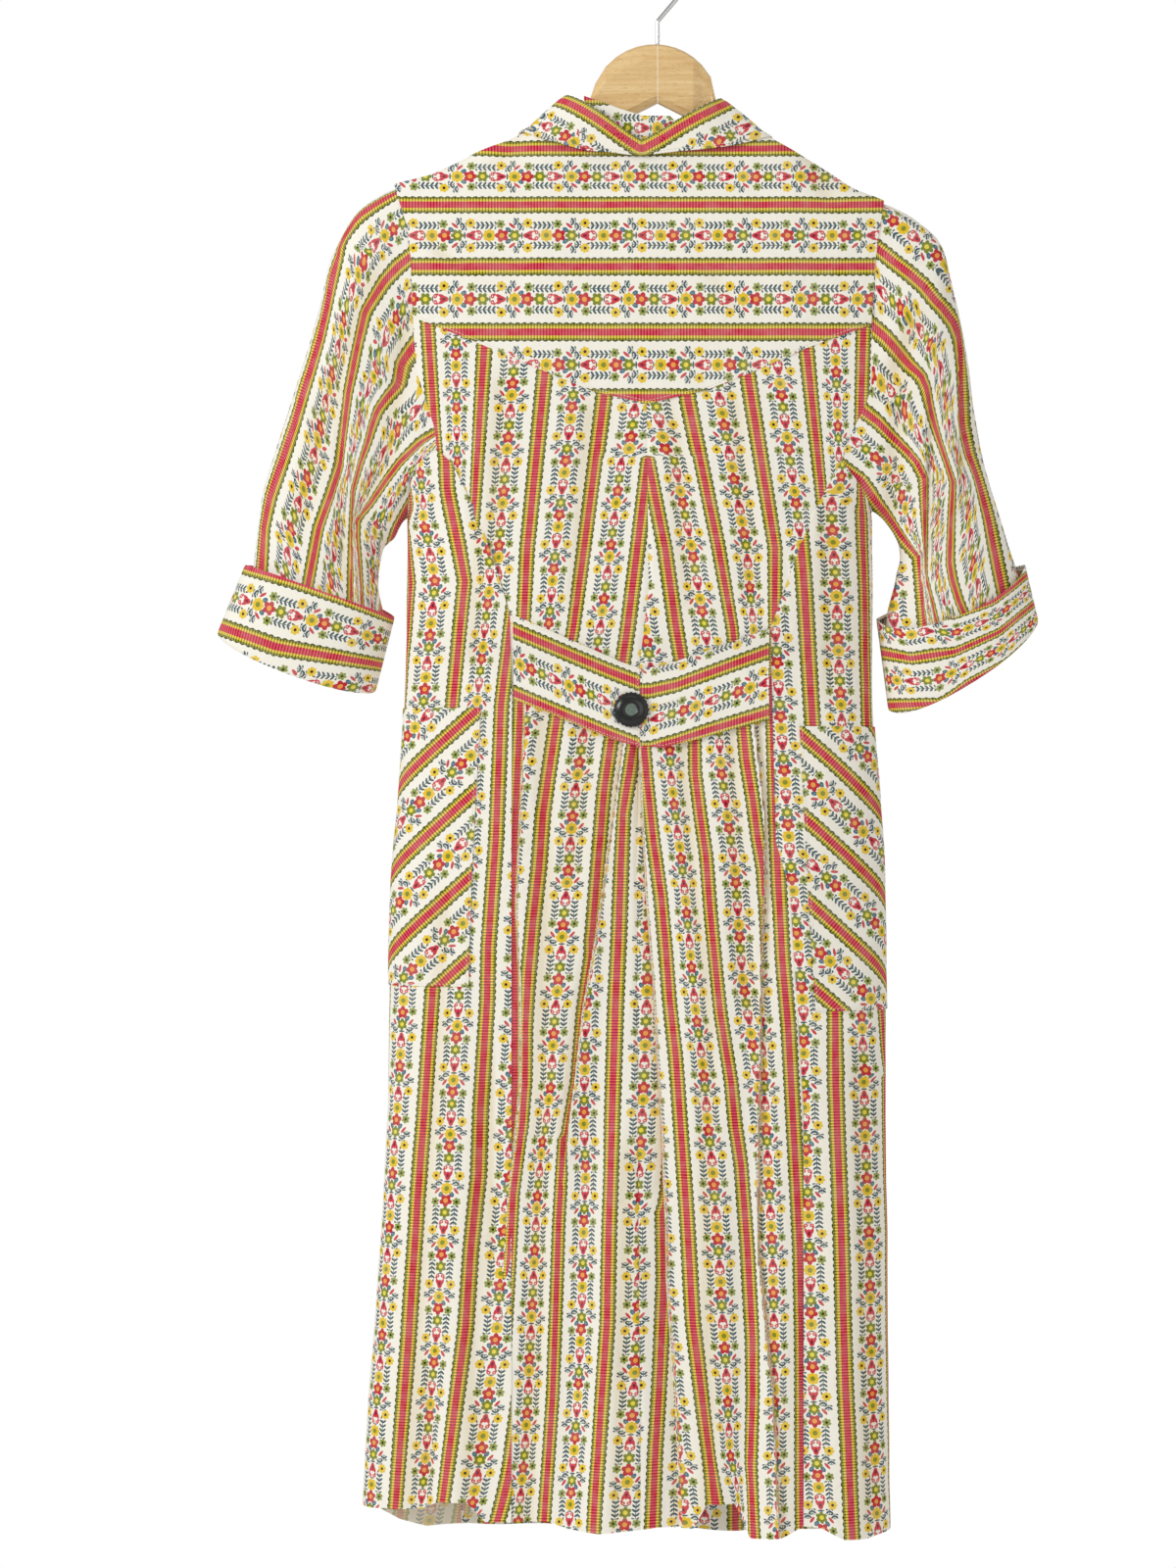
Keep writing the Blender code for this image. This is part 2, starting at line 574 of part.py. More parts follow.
def side_grid(side, lift):
    """Points of the side panel: from the back princess line round the side to the front one."""
    if side < 0:
        top = list(ARMHOLE_LEFT[LEFT_CORNER:]) + [FRONT_ARMHOLE_LEFT[4], FRONT_PRINCESS_LEFT[0]]
        back, front = PRINCESS_LEFT, FRONT_PRINCESS_LEFT
        pocket = POCKET_LEFT
    else:
        top = list(ARMHOLE_RIGHT[RIGHT_CORNER:]) + [FRONT_ARMHOLE_RIGHT[4], FRONT_PRINCESS_RIGHT[0]]
        back, front = PRINCESS_RIGHT, FRONT_PRINCESS_RIGHT
        pocket = POCKET_RIGHT
    under = len(top) - 3
    back_top = np.array(top[:under + 1])
    fore_top = np.array(top[under:])
    levels = levels_of(side)
    rows = len(levels) + 3
    outer = np.zeros((rows, SIDE_COUNT, 3))
    inner = np.zeros((rows, SIDE_COUNT, 3))

    def along(points, part):
        lengths = np.concatenate([[0.0], np.cumsum(np.hypot(*np.diff(points, axis=0).T))])
        place = part * lengths[-1]
        return np.interp(place, lengths, points[:, 0]), np.interp(place, lengths, points[:, 1])

    def columns(level):
        """Angles of the columns at one drop."""
        back_x = float(along_drop(back, level))
        front_x = float(along_drop(front, level))
        first = float(angle_of(back_x, level, side, -1))
        second = float(angle_of(back_x + side * LAP, level, side, -1))
        third = float(angle_of(interp(pocket, level), level, side, -1))
        last = float(angle_of(front_x, level, side, 1))
        before = float(angle_of(front_x + side * LAP, level, side, 1))
        third = max(third, second + 0.04)
        middle = np.linspace(third, before, SIDE_COUNT - 3)
        return np.concatenate([[first, second], middle, [last]])

    for column in range(SIDE_COUNT):
        if column <= SIDE_TURN:
            tx, td = along(back_top, column / SIDE_TURN)
            start_face = -1
        else:
            tx, td = along(fore_top, (column - SIDE_TURN) / (SIDE_COUNT - 1 - SIDE_TURN))
            start_face = 1
        start_angle = math.pi / 2 if column == SIDE_TURN else float(angle_of(tx, td, side, start_face))
        td = float(td) + 0.4 + 2.6 * math.sin(math.pi * column / (SIDE_COUNT - 1)) ** 0.5
        angle = start_angle
        for row in range(rows):
            if row == 0:
                level = td
                angle = start_angle
            elif row == 1:
                level = td + (levels[0] - td) * 0.5
                even = columns(level)[column]
                angle = start_angle + (even - start_angle) * 0.5
                if column in (0, SIDE_COUNT - 1):
                    angle = even
            elif row < rows - 1:
                level = levels[row - 2]
                angle = columns(level)[column]
            else:
                wrap = min(max((column - 5.0) / 5.0, 0.0), 1.0)
                guess = MIDDLE + side * 180.0
                for _ in range(6):
                    hem_back = float(interp(BACK_HEM, guess))
                    hem_front = float(interp(FRONT_HEM, guess))
                    level = hem_back + (hem_front - hem_back) * wrap
                    angle = columns(level)[column]
                    guess = float(round_body(angle, level, side))
            face = -1 if angle < math.pi / 2 else 1
            px = np.array([float(round_body(angle, level, side))])
            po, pi = on_body(px, np.array([level]), face, lift, 0.0)
            outer[row, column] = po[0]
            inner[row, column] = pi[0]
    return outer, inner


def side_panel(name, side, slot):
    """Wraps from the back princess line round the side to the front one, lapped over both."""
    outer, inner = side_grid(side, LIFT)
    outer, inner = turned(outer, inner, side < 0)
    return wall(name, outer, inner, slot)


def pocket(name, side, slot):
    """Made from the side panel's own points, moved out; it goes round the side to the front."""
    outer, inner = side_grid(side, LIFT + POCKET_LIFT)
    top = 2 + len(LEVELS_ABOVE)
    foot = top + len(LEVELS_BELOW) + 1
    outer = outer[top:foot + 1, POCKET_FIRST:POCKET_LAST + 1]
    inner = inner[top:foot + 1, POCKET_FIRST:POCKET_LAST + 1]
    outer, inner = turned(outer, inner, side < 0)
    return wall(name, outer, inner, slot)


def grid_normals(points, ring):
    """Outward directions of a grid whose columns run anticlockwise seen from its end."""
    if ring:
        ahead = np.roll(points, -1, axis=1)
        behind = np.roll(points, 1, axis=1)
        across = ahead - behind
    else:
        across = np.gradient(points, axis=1)
    down = np.gradient(points, axis=0)
    normal = np.cross(down, across)
    length = np.linalg.norm(normal, axis=-1, keepdims=True) + 1e-9
    return normal / length


def ellipse_ring(x_out, drop_out, x_in, drop_in, depth, count, near_sag=0.0, far_sag=0.0, grow=0.0):
    """A ring from its outer point over the back (near, -Y) to its inner point and round the front."""
    turn = np.arange(count) * 2.0 * math.pi / count
    axis = np.array([x_out - x_in, 0.0, -(drop_out - drop_in)])
    length = np.linalg.norm(axis)
    axis = axis / length
    middle = np.array([(x_out + x_in) / 2, 0.0, -(drop_out + drop_in) / 2])
    cosine = np.cos(turn)
    sine = np.sin(turn)
    flat = np.sign(cosine) * np.abs(cosine) ** 0.9
    bulge = np.sign(sine) * np.abs(sine) ** 0.75
    ring = middle + np.outer(flat * (length / 2 + grow), axis)
    ring = ring + np.outer(-bulge * (depth + grow), [0.0, 1.0, 0.0])
    sag = np.where(sine > 0.0, near_sag, far_sag) * np.abs(sine) ** 1.2
    ring[:, 2] -= sag
    return ring


def armhole_ring(side, count):
    """The sleeve's first ring: the armhole's edge, back and front, moved a seam's width outwards."""
    back = np.array(ARMHOLE_LEFT if side < 0 else ARMHOLE_RIGHT, dtype=float)
    fore = np.array(FRONT_ARMHOLE_LEFT if side < 0 else FRONT_ARMHOLE_RIGHT, dtype=float)
    half = count // 2
    ring = np.zeros((count, 3))

    def along(points, part):
        lengths = np.concatenate([[0.0], np.cumsum(np.hypot(*np.diff(points, axis=0).T))])
        place = part * lengths[-1]
        return np.interp(place, lengths, points[:, 0]), np.interp(place, lengths, points[:, 1])

    for index in range(count):
        if index <= half:
            points, part, face = back, index / half, -1
        else:
            points, part, face = fore, (count - index) / half, 1
        px, pd = along(points, part)
        y = float(body_y(np.array(px), np.array(pd), face))
        if index in (0, half):
            y = 0.0
        ring[index] = (px + side * 1.1, y, -pd)
    return ring


def cuff_ring(side, part, grow, count):
    """A ring of the cuff: part 0 at the fold, 1 at the upper edge."""
    top = CUFF_TOP_LEFT if side < 0 else CUFF_TOP_RIGHT
    fold = CUFF_FOLD_LEFT if side < 0 else CUFF_FOLD_RIGHT
    row = [low + (high - low) * part for low, high in zip(fold, top)]
    return ellipse_ring(row[0], row[1], row[2], row[3], row[4], count, row[5], row[6], grow)


def sleeve(name, side, slot):
    count = 22
    table = SLEEVE_LEFT if side < 0 else SLEEVE_RIGHT
    first = armhole_ring(side, count)
    rings = []
    for index, (x_out, drop_out, x_in, drop_in, depth) in enumerate(table):
        ring = ellipse_ring(x_out, drop_out, x_in, drop_in, depth, count)
        if index == 0:
            shift = first - ring
        weight = SETTLE[index] if index < len(SETTLE) else 0.0
        rings.append(ring + shift * weight)
    for up, inside in SLEEVE_END:
        rings.append(cuff_ring(side, up / CUFF_DEPTH, inside, count))
    outer = np.array(rings)
    if side > 0:
        outer = outer[:, ::-1]
    inner = outer - grid_normals(outer, True) * WALL
    return wall(name, outer, inner, slot, ring=True)


def cuff(name, side, slot):
    """Turned back: up from the fold outside the sleeve, and a short way up inside it."""
    count = 22
    reach = CUFF_SLEEVE_END / CUFF_DEPTH
    section = (
        (1.0, CUFF_STAND_TOP), (0.66, 2.2), (0.33, 1.3), (0.06, CUFF_STAND_FOLD), (0.012, 0.1),
        (0.0, -0.9), (0.0, -2.1), (0.012, -3.1), (0.06, -3.7), (reach, -3.8),
    )
    lining = (
        (1.0, CUFF_STAND_TOP - WALL), (0.66, 0.7), (0.33, -0.2), (0.06, -0.9), (0.035, -1.1),
        (0.028, -1.3), (0.028, -1.8), (0.035, -2.0), (0.06, -2.2), (reach, -2.3),
    )
    outer = np.array([cuff_ring(side, part, grow, count) for part, grow in section])
    inner = np.array([cuff_ring(side, part, grow, count) for part, grow in lining])
    if side > 0:
        outer = outer[:, ::-1]
        inner = inner[:, ::-1]
    return wall(name, outer, inner, slot, ring=True)


def clear_of_body(grid, least):
    """Move points outwards until they are at least a given distance from the body's skin."""
    for _ in range(3):
        x = grid[..., 0]
        drop = -grid[..., 2]
        face = np.where(grid[..., 1] < 0.0, -1.0, 1.0)
        y = grid[..., 1]

        def value(px, py, pd):
            across = np.abs(px - MIDDLE) / half_width(px, pd)
            return across ** ROUND + (np.abs(py) / half_depth(pd)) ** ROUND

        step = 0.5
        here = value(x, y, drop)
        nx = (value(x + step, y, drop) - value(x - step, y, drop)) / (2 * step)
        ny = (value(x, y + step, drop) - value(x, y - step, drop)) / (2 * step)
        nd = (value(x, y, drop + step) - value(x, y, drop - step)) / (2 * step)
        size = np.sqrt(nx * nx + ny * ny + nd * nd) + 1e-6
        away = (here - 1.0) / size
        push = np.clip(least - away, 0.0, 4.0)
        push = np.where(drop < 112.0, 0.0, push)
        grid = grid + np.stack([nx, ny, -nd], axis=-1) / size[..., None] * push[..., None]
    return grid


def collar(name, side, slot):
    table = np.array(COLLAR_LEFT if side < 0 else COLLAR_RIGHT, dtype=float)
    across = (0.0, 0.12, 0.5, 1.0)
    lift = (0.0, 1.2, 1.6, 0.0)
    steps = 21
    place = np.linspace(0, len(table) - 1, steps)
    rows = []
    for value in place:
        line = [np.interp(value, range(len(table)), table[:, column]) for column in range(6)]
        roll = np.array([line[0], line[2], -line[1]])
        edge = np.array([line[3], line[5], -line[4]])
        row = []
        for part, bump in zip(across, lift):
            point = roll + (edge - roll) * part
            row.append(point)
        rows.append(row)
    grid = np.array(rows)
    down = np.gradient(grid, axis=1)
    along = np.gradient(grid, axis=0)
    normal = np.cross(along, down) * (1 if side < 0 else -1)
    normal = normal / (np.linalg.norm(normal, axis=-1, keepdims=True) + 1e-9)
    normal[0] = np.array([0.0, normal[0, 0, 1], normal[0, 0, 2]])
    normal[0] = normal[0] / np.linalg.norm(normal[0], axis=-1, keepdims=True)
    grid = grid + normal * np.array(lift)[None, :, None]
    middle = grid[0].copy()
    grid = clear_of_body(grid, WALL + 1.4)
    grid[0, :, 0] = middle[:, 0]
    inner = grid - normal * WALL
    outer, inner = turned(np.swapaxes(grid, 0, 1), np.swapaxes(inner, 0, 1), side < 0)
    return wall(name, outer, inner, slot)


def neck_band(slot):
    columns, rows = 15, 4
    table = np.array(BAND, dtype=float)
    outer = np.zeros((rows, columns, 3))
    inner = np.zeros((rows, columns, 3))
    for column, part in enumerate(spread(columns)):
        x = table[0, 0] + (table[-1, 0] - table[0, 0]) * part
        top = np.interp(x, table[:, 0], table[:, 1])
        foot = np.interp(x, table[:, 0], table[:, 2])
        for row, fall in enumerate(spread(rows)):
            level = top + (foot - top) * fall
            held = max(level, float(upper_edge(np.array(x), BACK_NECK)))
            y = float(body_y(np.array(x), np.array(held), -1)) + WALL + 0.9
            outer[row, column] = (x, y, -level)
            inner[row, column] = (x, y + WALL, -level)
    return wall("neck_band", outer, inner, slot)


def belt(name, side, slot):
    table = np.array(BELT_LEFT if side < 0 else BELT_RIGHT, dtype=float)
    columns, rows = 11, 6
    x = np.zeros((rows, columns))
    drop = np.zeros((rows, columns))
    for column, part in enumerate(spread(columns)):
        px = table[0, 0] + (table[-1, 0] - table[0, 0]) * part
        top = np.interp(px, table[:, 0], table[:, 1])
        foot = np.interp(px, table[:, 0], table[:, 2])
        for row, fall in enumerate(spread(rows)):
            x[row, column] = px
            drop[row, column] = top + (foot - top) * fall
    if side < 0:
        slant = np.linspace(0.0, 1.0, rows)
        x[:, -1] = -14.0 + 7.6 * np.minimum(slant / 0.45, 1.0) - 1.0 * np.maximum(slant - 0.45, 0.0)
    else:
        slant = np.linspace(0.0, 1.0, rows)
        x[:, 0] = -6.0
        drop[:, 0] = 579.5 + (617.5 - 579.5) * slant
    outer, inner = on_body(x, drop, -1, BELT_LIFT)
    return wall(name, outer, inner, slot)


def belt_button(slot):
    """A domed coat button with a scalloped rim, in front of the belt's overlap."""
    around = BUTTON_SCALLOPS * 4
    y_belt = float(body_y(np.array(BUTTON_X), np.array(BUTTON_DROP), -1)) - BELT_LIFT - 0.45
    rings = ((0.0, 0.86), (0.35, 0.98), (0.62, 1.0), (0.82, 0.88), (1.0, 0.62), (0.86, 0.42))
    points = []
    for rise, size in rings:
        for index in range(around):
            turn = 2.0 * math.pi * index / around
            notch = SCALLOP_DEPTH * (0.5 - 0.5 * math.cos(turn * BUTTON_SCALLOPS)) if size > 0.8 else 0.0
            radius = BUTTON_RADIUS * size - notch
            points.append((BUTTON_X + radius * math.cos(turn), y_belt - BUTTON_THICK * rise,
                           -BUTTON_DROP + radius * math.sin(turn)))
    faces = []
    for ring in range(len(rings) - 1):
        for index in range(around):
            after = (index + 1) % around
            a = ring * around + index
            b = ring * around + after
            faces.append((a, a + around, b + around, b))
    faces.append(tuple(range(around)))
    top = (len(rings) - 1) * around
    faces.append(tuple(top + index for index in reversed(range(around))))
    item = add_object("belt_button", points, faces, slot)
    return item


def wood_arm(name, side, slot):
    """One half of the hanger: domed at the neck, then under the shoulder to its tip."""
    tip = TIP_LEFT if side < 0 else TIP_RIGHT
    start = side * 0.15
    stations = 25
    around = ((-1.0, 0.35), (-1.0, 0.72), (-0.62, 0.95), (0.0, 1.0), (0.62, 0.95), (1.0, 0.72), (1.0, 0.35),
              (0.9, 0.1), (0.5, 0.0), (-0.5, 0.0), (-0.9, 0.1))
    points = []
    for index in range(stations):
        x = start + (tip - start) * (index / (stations - 1))
        run = abs(x - DOME_X)
        dome = 999.0
        if run < DOME_RADIUS - 1.5:
            dome = DOME_DROP - math.sqrt(DOME_RADIUS ** 2 - run ** 2)
        ridge = float(top_of_yoke(np.array(x))) + (WALL + WOOD_REST) * 1.15
        if abs(x - MIDDLE) < 72.0:
            ridge = ridge + 1.6
        if abs(x - MIDDLE) < 62.0:
            ridge = 119.0 - (62.0 - abs(x - MIDDLE)) * 0.15
        top = min(dome, ridge)
        foot = max(UNDER_DROP + UNDER_SLOPE * abs(x), top + 24.0) if run > 20 else UNDER_DROP + UNDER_SLOPE * abs(x)
        for across, height in around:
            level = foot + (top - foot) * height
            half = WOOD_HALF
            if abs(x - MIDDLE) > 45.0:
                reach = max(level, float(top_of_yoke(np.array(x))) + 0.3)
                skin = -float(body_y(np.array(x), np.array(reach), -1))
                half = min(WOOD_HALF, max(skin - WALL - WOOD_CLEAR, 1.2))
                front = float(body_y(np.array(x), np.array(reach), 1))
                half = min(half, max(front - WALL - WOOD_CLEAR, 1.2))
                if abs(x - MIDDLE) < 76.0:
                    half = min(half, max(skin - WALL - WOOD_CLEAR - 1.6, 1.2))
            points.append((x, across * half, -level))
    ring = len(around)
    faces = []
    for station in range(stations - 1):
        for index in range(ring):
            after = (index + 1) % ring
            a = station * ring + index
            b = station * ring + after
            if side > 0:
                faces.append((a, b, b + ring, a + ring))
            else:
                faces.append((a, a + ring, b + ring, b))
    first = tuple(range(ring))
    last = tuple((stations - 1) * ring + index for index in range(ring))
    if side > 0:
        faces.append(first[::-1])
        faces.append(last)
    else:
        faces.append(first)
        faces.append(last[::-1])
    return add_object(name, points, faces, slot)


def hanger_hook(slot):
    """Steel wire: a straight shank that ends on the wood and an open round hook."""
    curve = bpy.data.curves.new("hanger_hook", "CURVE")
    curve.dimensions = "3D"
    curve.bevel_depth = WIRE_RADIUS * MM
    curve.bevel_resolution = 2
    curve.use_fill_caps = True
    spline = curve.splines.new("POLY")
    centre = HOOK_RADIUS - WIRE_RADIUS * 0 + 0.0
    route = [(0.0, 0.0, -HOOK_SHANK_DROP), (0.0, 0.0, -50.0), (0.0, 0.0, -44.0)]
    for index in range(1, 15):
        turn = math.radians(-90.0 + 250.0 * index / 14.0)
        if index < 3:
            continue
        route.append((HOOK_RADIUS * math.cos(turn), 0.0, -centre + WIRE_RADIUS + HOOK_RADIUS * math.sin(turn)))
    route = [(x, y, z) for x, y, z in route]
    spline.points.add(len(route) - 1)
    for point, place in zip(spline.points, route):
        point.co = (place[0] * MM, place[1] * MM, place[2] * MM, 1.0)
    item = bpy.data.objects.new("hanger_hook", curve)
    curve.materials.append(slot)
    bpy.context.scene.collection.objects.link(item)
    return item


def main():
    for item in list(bpy.data.objects):
        bpy.data.objects.remove(item, do_unlink=True)
    cloth = material("printed_cotton", (0.80, 0.62, 0.52), 0.85)
    wood = material("beech", (0.80, 0.62, 0.38), 0.5)
    steel = material("steel_wire", (0.62, 0.62, 0.64), 0.35, 1.0)
    plastic = material("black_plastic", (0.03, 0.03, 0.03), 0.3)
    back_yoke(cloth)
    back_panel("back_panel_left", -1, cloth)
    back_panel("back_panel_right", 1, cloth)
    side_panel("side_panel_left", -1, cloth)
    side_panel("side_panel_right", 1, cloth)
    front_panel("front_panel_left", -1, cloth)
    front_panel("front_panel_right", 1, cloth)
    sleeve("sleeve_left", -1, cloth)
    sleeve("sleeve_right", 1, cloth)
    cuff("cuff_left", -1, cloth)
    cuff("cuff_right", 1, cloth)
    collar("collar_left", -1, cloth)
    collar("collar_right", 1, cloth)
    neck_band(cloth)
    belt("belt_left", -1, cloth)
    belt("belt_right", 1, cloth)
    belt_button(plastic)
    pocket("pocket_left", -1, cloth)
    pocket("pocket_right", 1, cloth)
    wood_arm("hanger_arm_left", -1, wood)
    wood_arm("hanger_arm_right", 1, wood)
    hanger_hook(steel)


main()
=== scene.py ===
"""The looks of a house dress that hangs, its back to the camera, on a two-part wooden hanger.

Lengths are millimetres until a mesh is made; "drop" is the distance below the origin, which is the
inside top of the hanger's hook. Places read from the photograph are in its own pixels, and are
turned into millimetres by photo_place and its inverse.
"""
import math

import bmesh
import bpy
import numpy as np
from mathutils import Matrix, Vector


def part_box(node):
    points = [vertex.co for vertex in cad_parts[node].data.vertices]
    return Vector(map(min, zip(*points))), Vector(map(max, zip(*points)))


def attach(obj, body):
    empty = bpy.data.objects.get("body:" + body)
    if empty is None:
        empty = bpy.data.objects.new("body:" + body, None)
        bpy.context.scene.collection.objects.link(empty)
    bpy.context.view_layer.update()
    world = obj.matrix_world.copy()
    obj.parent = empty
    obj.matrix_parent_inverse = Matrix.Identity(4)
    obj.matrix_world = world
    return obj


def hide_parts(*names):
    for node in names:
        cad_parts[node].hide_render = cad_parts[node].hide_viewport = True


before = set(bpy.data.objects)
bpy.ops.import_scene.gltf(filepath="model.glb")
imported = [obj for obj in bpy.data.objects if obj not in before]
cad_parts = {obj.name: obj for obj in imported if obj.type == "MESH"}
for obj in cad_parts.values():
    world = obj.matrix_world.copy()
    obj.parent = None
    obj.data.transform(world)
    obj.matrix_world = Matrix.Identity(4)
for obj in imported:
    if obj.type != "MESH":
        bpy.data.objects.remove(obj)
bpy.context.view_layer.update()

MM = 0.001

# The photograph: millimetres a pixel on the plane y = 0, its size in pixels, the pixel column of x = 0, the
# drop of its first row, the eye's distance and height, and how much smaller a pixel is on the near back
PHOTO_SCALE = 0.775
PHOTO_COLUMNS = 1200.0
PHOTO_ROWS = 1600.0
PHOTO_X = 671.0
PHOTO_TOP = 27.1
EYE_BACK = 2700.0
EYE_DROP = 650.0
NEAR_BACK = 0.9815

# The skirt's seam: its column in the right back panel's grid, how far right of the solid's seam it lies, the
# least of that, the drop and length in which it swings under its crease, and where its strip starts
SEAM_COLUMN = 14
SEAM_LAP = 14.0
SEAM_LAP_LEAST = 1.6
SEAM_LAP_FROM = 520.0
SEAM_LAP_FADE = 40.0
SEAM_STRIP_FROM = 562.0
# How far past a panel's edge, in millimetres, a ribbon still steers its print
STRAY = 70.0

# Cloth: thickness of shells and of the solids' walls, in millimetres
THIN = 0.7
BELT_THICK = 1.2
COLLAR_THICK = 1.2
POCKET_THICK = 0.8
CUFF_THICK = 0.5
WALL = 1.5
# How far pieces lap under others and turn in, and how far they stand off the body
LAP = 8.0
TUCK_FALL = 22.0
YOKE_LAP = 3.0
HEM_TURN = 26.0
SIDE_EDGE_LIFT = 0.9
SIDE_RISE = 0.5
YOKE_LIFT = 0.75
POCKET_LIFT = 2.6
BELT_LIFT = 2.8
# The print's repeat across and along, in millimetres and in pixels of the photograph
REPEAT = 50.0
REPEAT_ALONG = 42.2
PITCH_PX = 65.0
ALONG_PX = 58.3
# Folds: the pixels in which one dies out at its ends, and the depth at which the painted shade is full
FADE_PX = 40.0
SHADE_DEPTH = 3.0
# Grids: the level from which rows stretch to the hem, and a side panel's last place, its place under the
# arm and the level where its rows are even
LOW_LEVEL = 1160.0
SIDE_LAST = 14.0
SIDE_TURN = 7.0
SIDE_EVEN = 450.0
# Rows of the grids of back and side panels, above, between and below two fixed levels, then the counts of
# rows and columns of the others
BACK_ROWS = (24, 200, 24)
SIDE_ROWS = (18, 180, 24)
BACK_COLUMNS = 88
SIDE_COLUMNS = 76
FRONT_COLUMNS = 44
YOKE_COLUMNS = 150
YOKE_ROWS = 64
# Points of an armhole's line that the yoke's ends follow, and places round a sleeve or cuff
YOKE_ARMHOLE = 8
RING_COUNT = 96
SLEEVE_ROWS = 96
CUFF_ROWS = 60
BELT_COLUMNS = 70
BELT_ROWS = 40
POCKET_ROWS = 60
# Rounds in which a grid settles between its slanting edges
ROUNDS = 40

# Body
MIDDLE = -12.4
ROUND = 2.667
# Columns: drop, left, right, depth
BODY = (
    (114.0, 59.7, 62.0, 12.0),
    (138.0, 104.6, 103.0, 15.5),
    (149.0, 131.0, 124.0, 17.0),
    (156.0, 144.5, 136.5, 18.0),
    (166.0, 166.6, 151.0, 19.5),
    (177.5, 202.3, 168.0, 21.0),
    (189.0, 210.0, 194.5, 22.5),
    (217.0, 215.0, 212.0, 26.0),
    (300.0, 215.0, 213.0, 36.0),
    (350.0, 212.0, 210.0, 41.0),
    (384.0, 205.0, 203.0, 43.0),
    (410.0, 195.0, 190.0, 44.5),
    (435.0, 184.0, 181.0, 46.0),
    (500.0, 184.0, 181.0, 50.0),
    (528.0, 184.0, 181.0, 47.0),
    (560.0, 185.0, 181.0, 39.0),
    (610.0, 187.0, 183.0, 39.0),
    (653.0, 190.0, 186.0, 43.0),
    (725.0, 196.0, 190.0, 47.0),
    (790.0, 198.0, 191.0, 48.5),
    (900.0, 199.5, 191.5, 50.5),
    (1000.0, 205.0, 192.0, 52.0),
    (1112.0, 213.0, 193.5, 53.5),
    (1260.0, 223.0, 195.0, 55.0),
)
# A point inside the dress for each kind of piece, from which its faces look away
INSIDE = {kind: np.array([MIDDLE, y, z]) for kind, y, z in (
    ("back", 60.0, -700.0), ("front", -60.0, -700.0), ("side", 0.0, -700.0), ("belt", 60.0, -570.0),
    ("yoke", 60.0, -300.0))}
# Small waves of worn cotton: their height, and the seeds of the left and the right piece
WAVES = {"back": (0.8, 5, 6), "front": (1.6, 15, 16), "side": (0.7, 25, 26), "sleeve": (0.7, 35, 36),
         "yoke": (0.5, 8, 8), "belt": (0.35, 55, 55)}
# Length of each wave and its part of the height
WAVE_LENGTHS = ((95.0, 1.0), (61.0, 0.8), (38.0, 0.5), (23.0, 0.28), (14.0, 0.16))

# Soft flutes of the skirt: where each starts and ends, how deep and how wide it is at the hem.
# face is -1 on the back and 1 on the front; a positive depth is a trough.
# Columns: face, x_top, drop_top, x_hem, depth, half_width
FLUTES = (
    (-1, -130.0, 780.0, -128.0, 7.0, 17.0),
    (-1, -179.0, 1020.0, -180.0, 8.0, 14.0),
    (-1, -102.0, 840.0, -99.0, 6.0, 14.0),
    (-1, -30.0, 640.0, -76.0, 7.0, 20.0),
    (-1, -12.0, 660.0, 18.0, 9.0, 20.0),
    (-1, 84.0, 650.0, 66.0, 8.0, 18.0),
    (-1, 108.0, 760.0, 116.0, 6.0, 15.0),
    (-1, 152.0, 900.0, 156.0, -5.0, 20.0),
    (-1, -30.0, 900.0, -40.0, -4.0, 22.0),
    (1, -120.0, 700.0, -132.0, 8.0, 22.0),
    (1, -50.0, 640.0, -62.0, 7.0, 22.0),
    (1, 40.0, 680.0, 44.0, 8.0, 24.0),
    (1, 110.0, 720.0, 122.0, 7.0, 20.0),
)
FLUTE_HEM_DROP = 1235.0

# Edges on the body: x along the drop
# Columns: x, drop
ARMHOLE_LEFT = (
    (-207.0, 176.0), (-198.0, 205.0), (-193.5, 235.0), (-191.3, 293.8), (-188.2, 325.3), (-180.5, 349.9),
    (-174.4, 368.3), (-172.1, 386.0), (-184.3, 393.6), (-192.0, 409.0), (-196.4, 436.0),
)
ARMHOLE_RIGHT = (
    (178.5, 187.5), (173.5, 215.0), (170.0, 245.0), (167.4, 286.1), (168.2, 313.8), (167.4, 336.0),
    (163.6, 348.3), (152.9, 371.4), (143.6, 395.0), (155.2, 409.0), (168.6, 431.0),
)
LEFT_CORNER = 7
RIGHT_CORNER = 8
FRONT_ARMHOLE_LEFT = ((-207.0, 176.0), (-193.0, 225.0), (-188.0, 310.0), (-184.0, 370.0), (-186.0, 400.0),
                      (-196.4, 436.0))
FRONT_ARMHOLE_RIGHT = ((178.5, 187.5), (168.0, 235.0), (164.0, 310.0), (159.0, 370.0), (160.0, 398.0),
                       (168.6, 431.0))
PRINCESS_LEFT = ((-172.1, 386.0), (-160.0, 397.0), (-140.2, 437.6), (-123.5, 486.3), (-115.1, 513.8),
                 (-113.6, 571.0), (-113.6, 1260.0))
PRINCESS_RIGHT = ((143.6, 395.0), (123.5, 432.2), (110.5, 463.0), (97.5, 498.5), (88.0, 525.0), (90.0, 601.0),
                  (92.2, 692.0), (103.0, 730.0), (113.6, 898.0), (113.6, 1260.0))
FRONT_PRINCESS_LEFT = ((-184.5, 385.0), (-150.0, 500.0), (-146.0, 580.0), (-150.0, 1260.0))
FRONT_PRINCESS_RIGHT = ((160.0, 385.0), (126.0, 500.0), (122.0, 580.0), (126.0, 1260.0))
BACK_SEAM = ((-8.4, 340.0), (-7.0, 495.0), (-16.0, 571.0), (-16.0, 800.0), (-12.2, 1260.0))
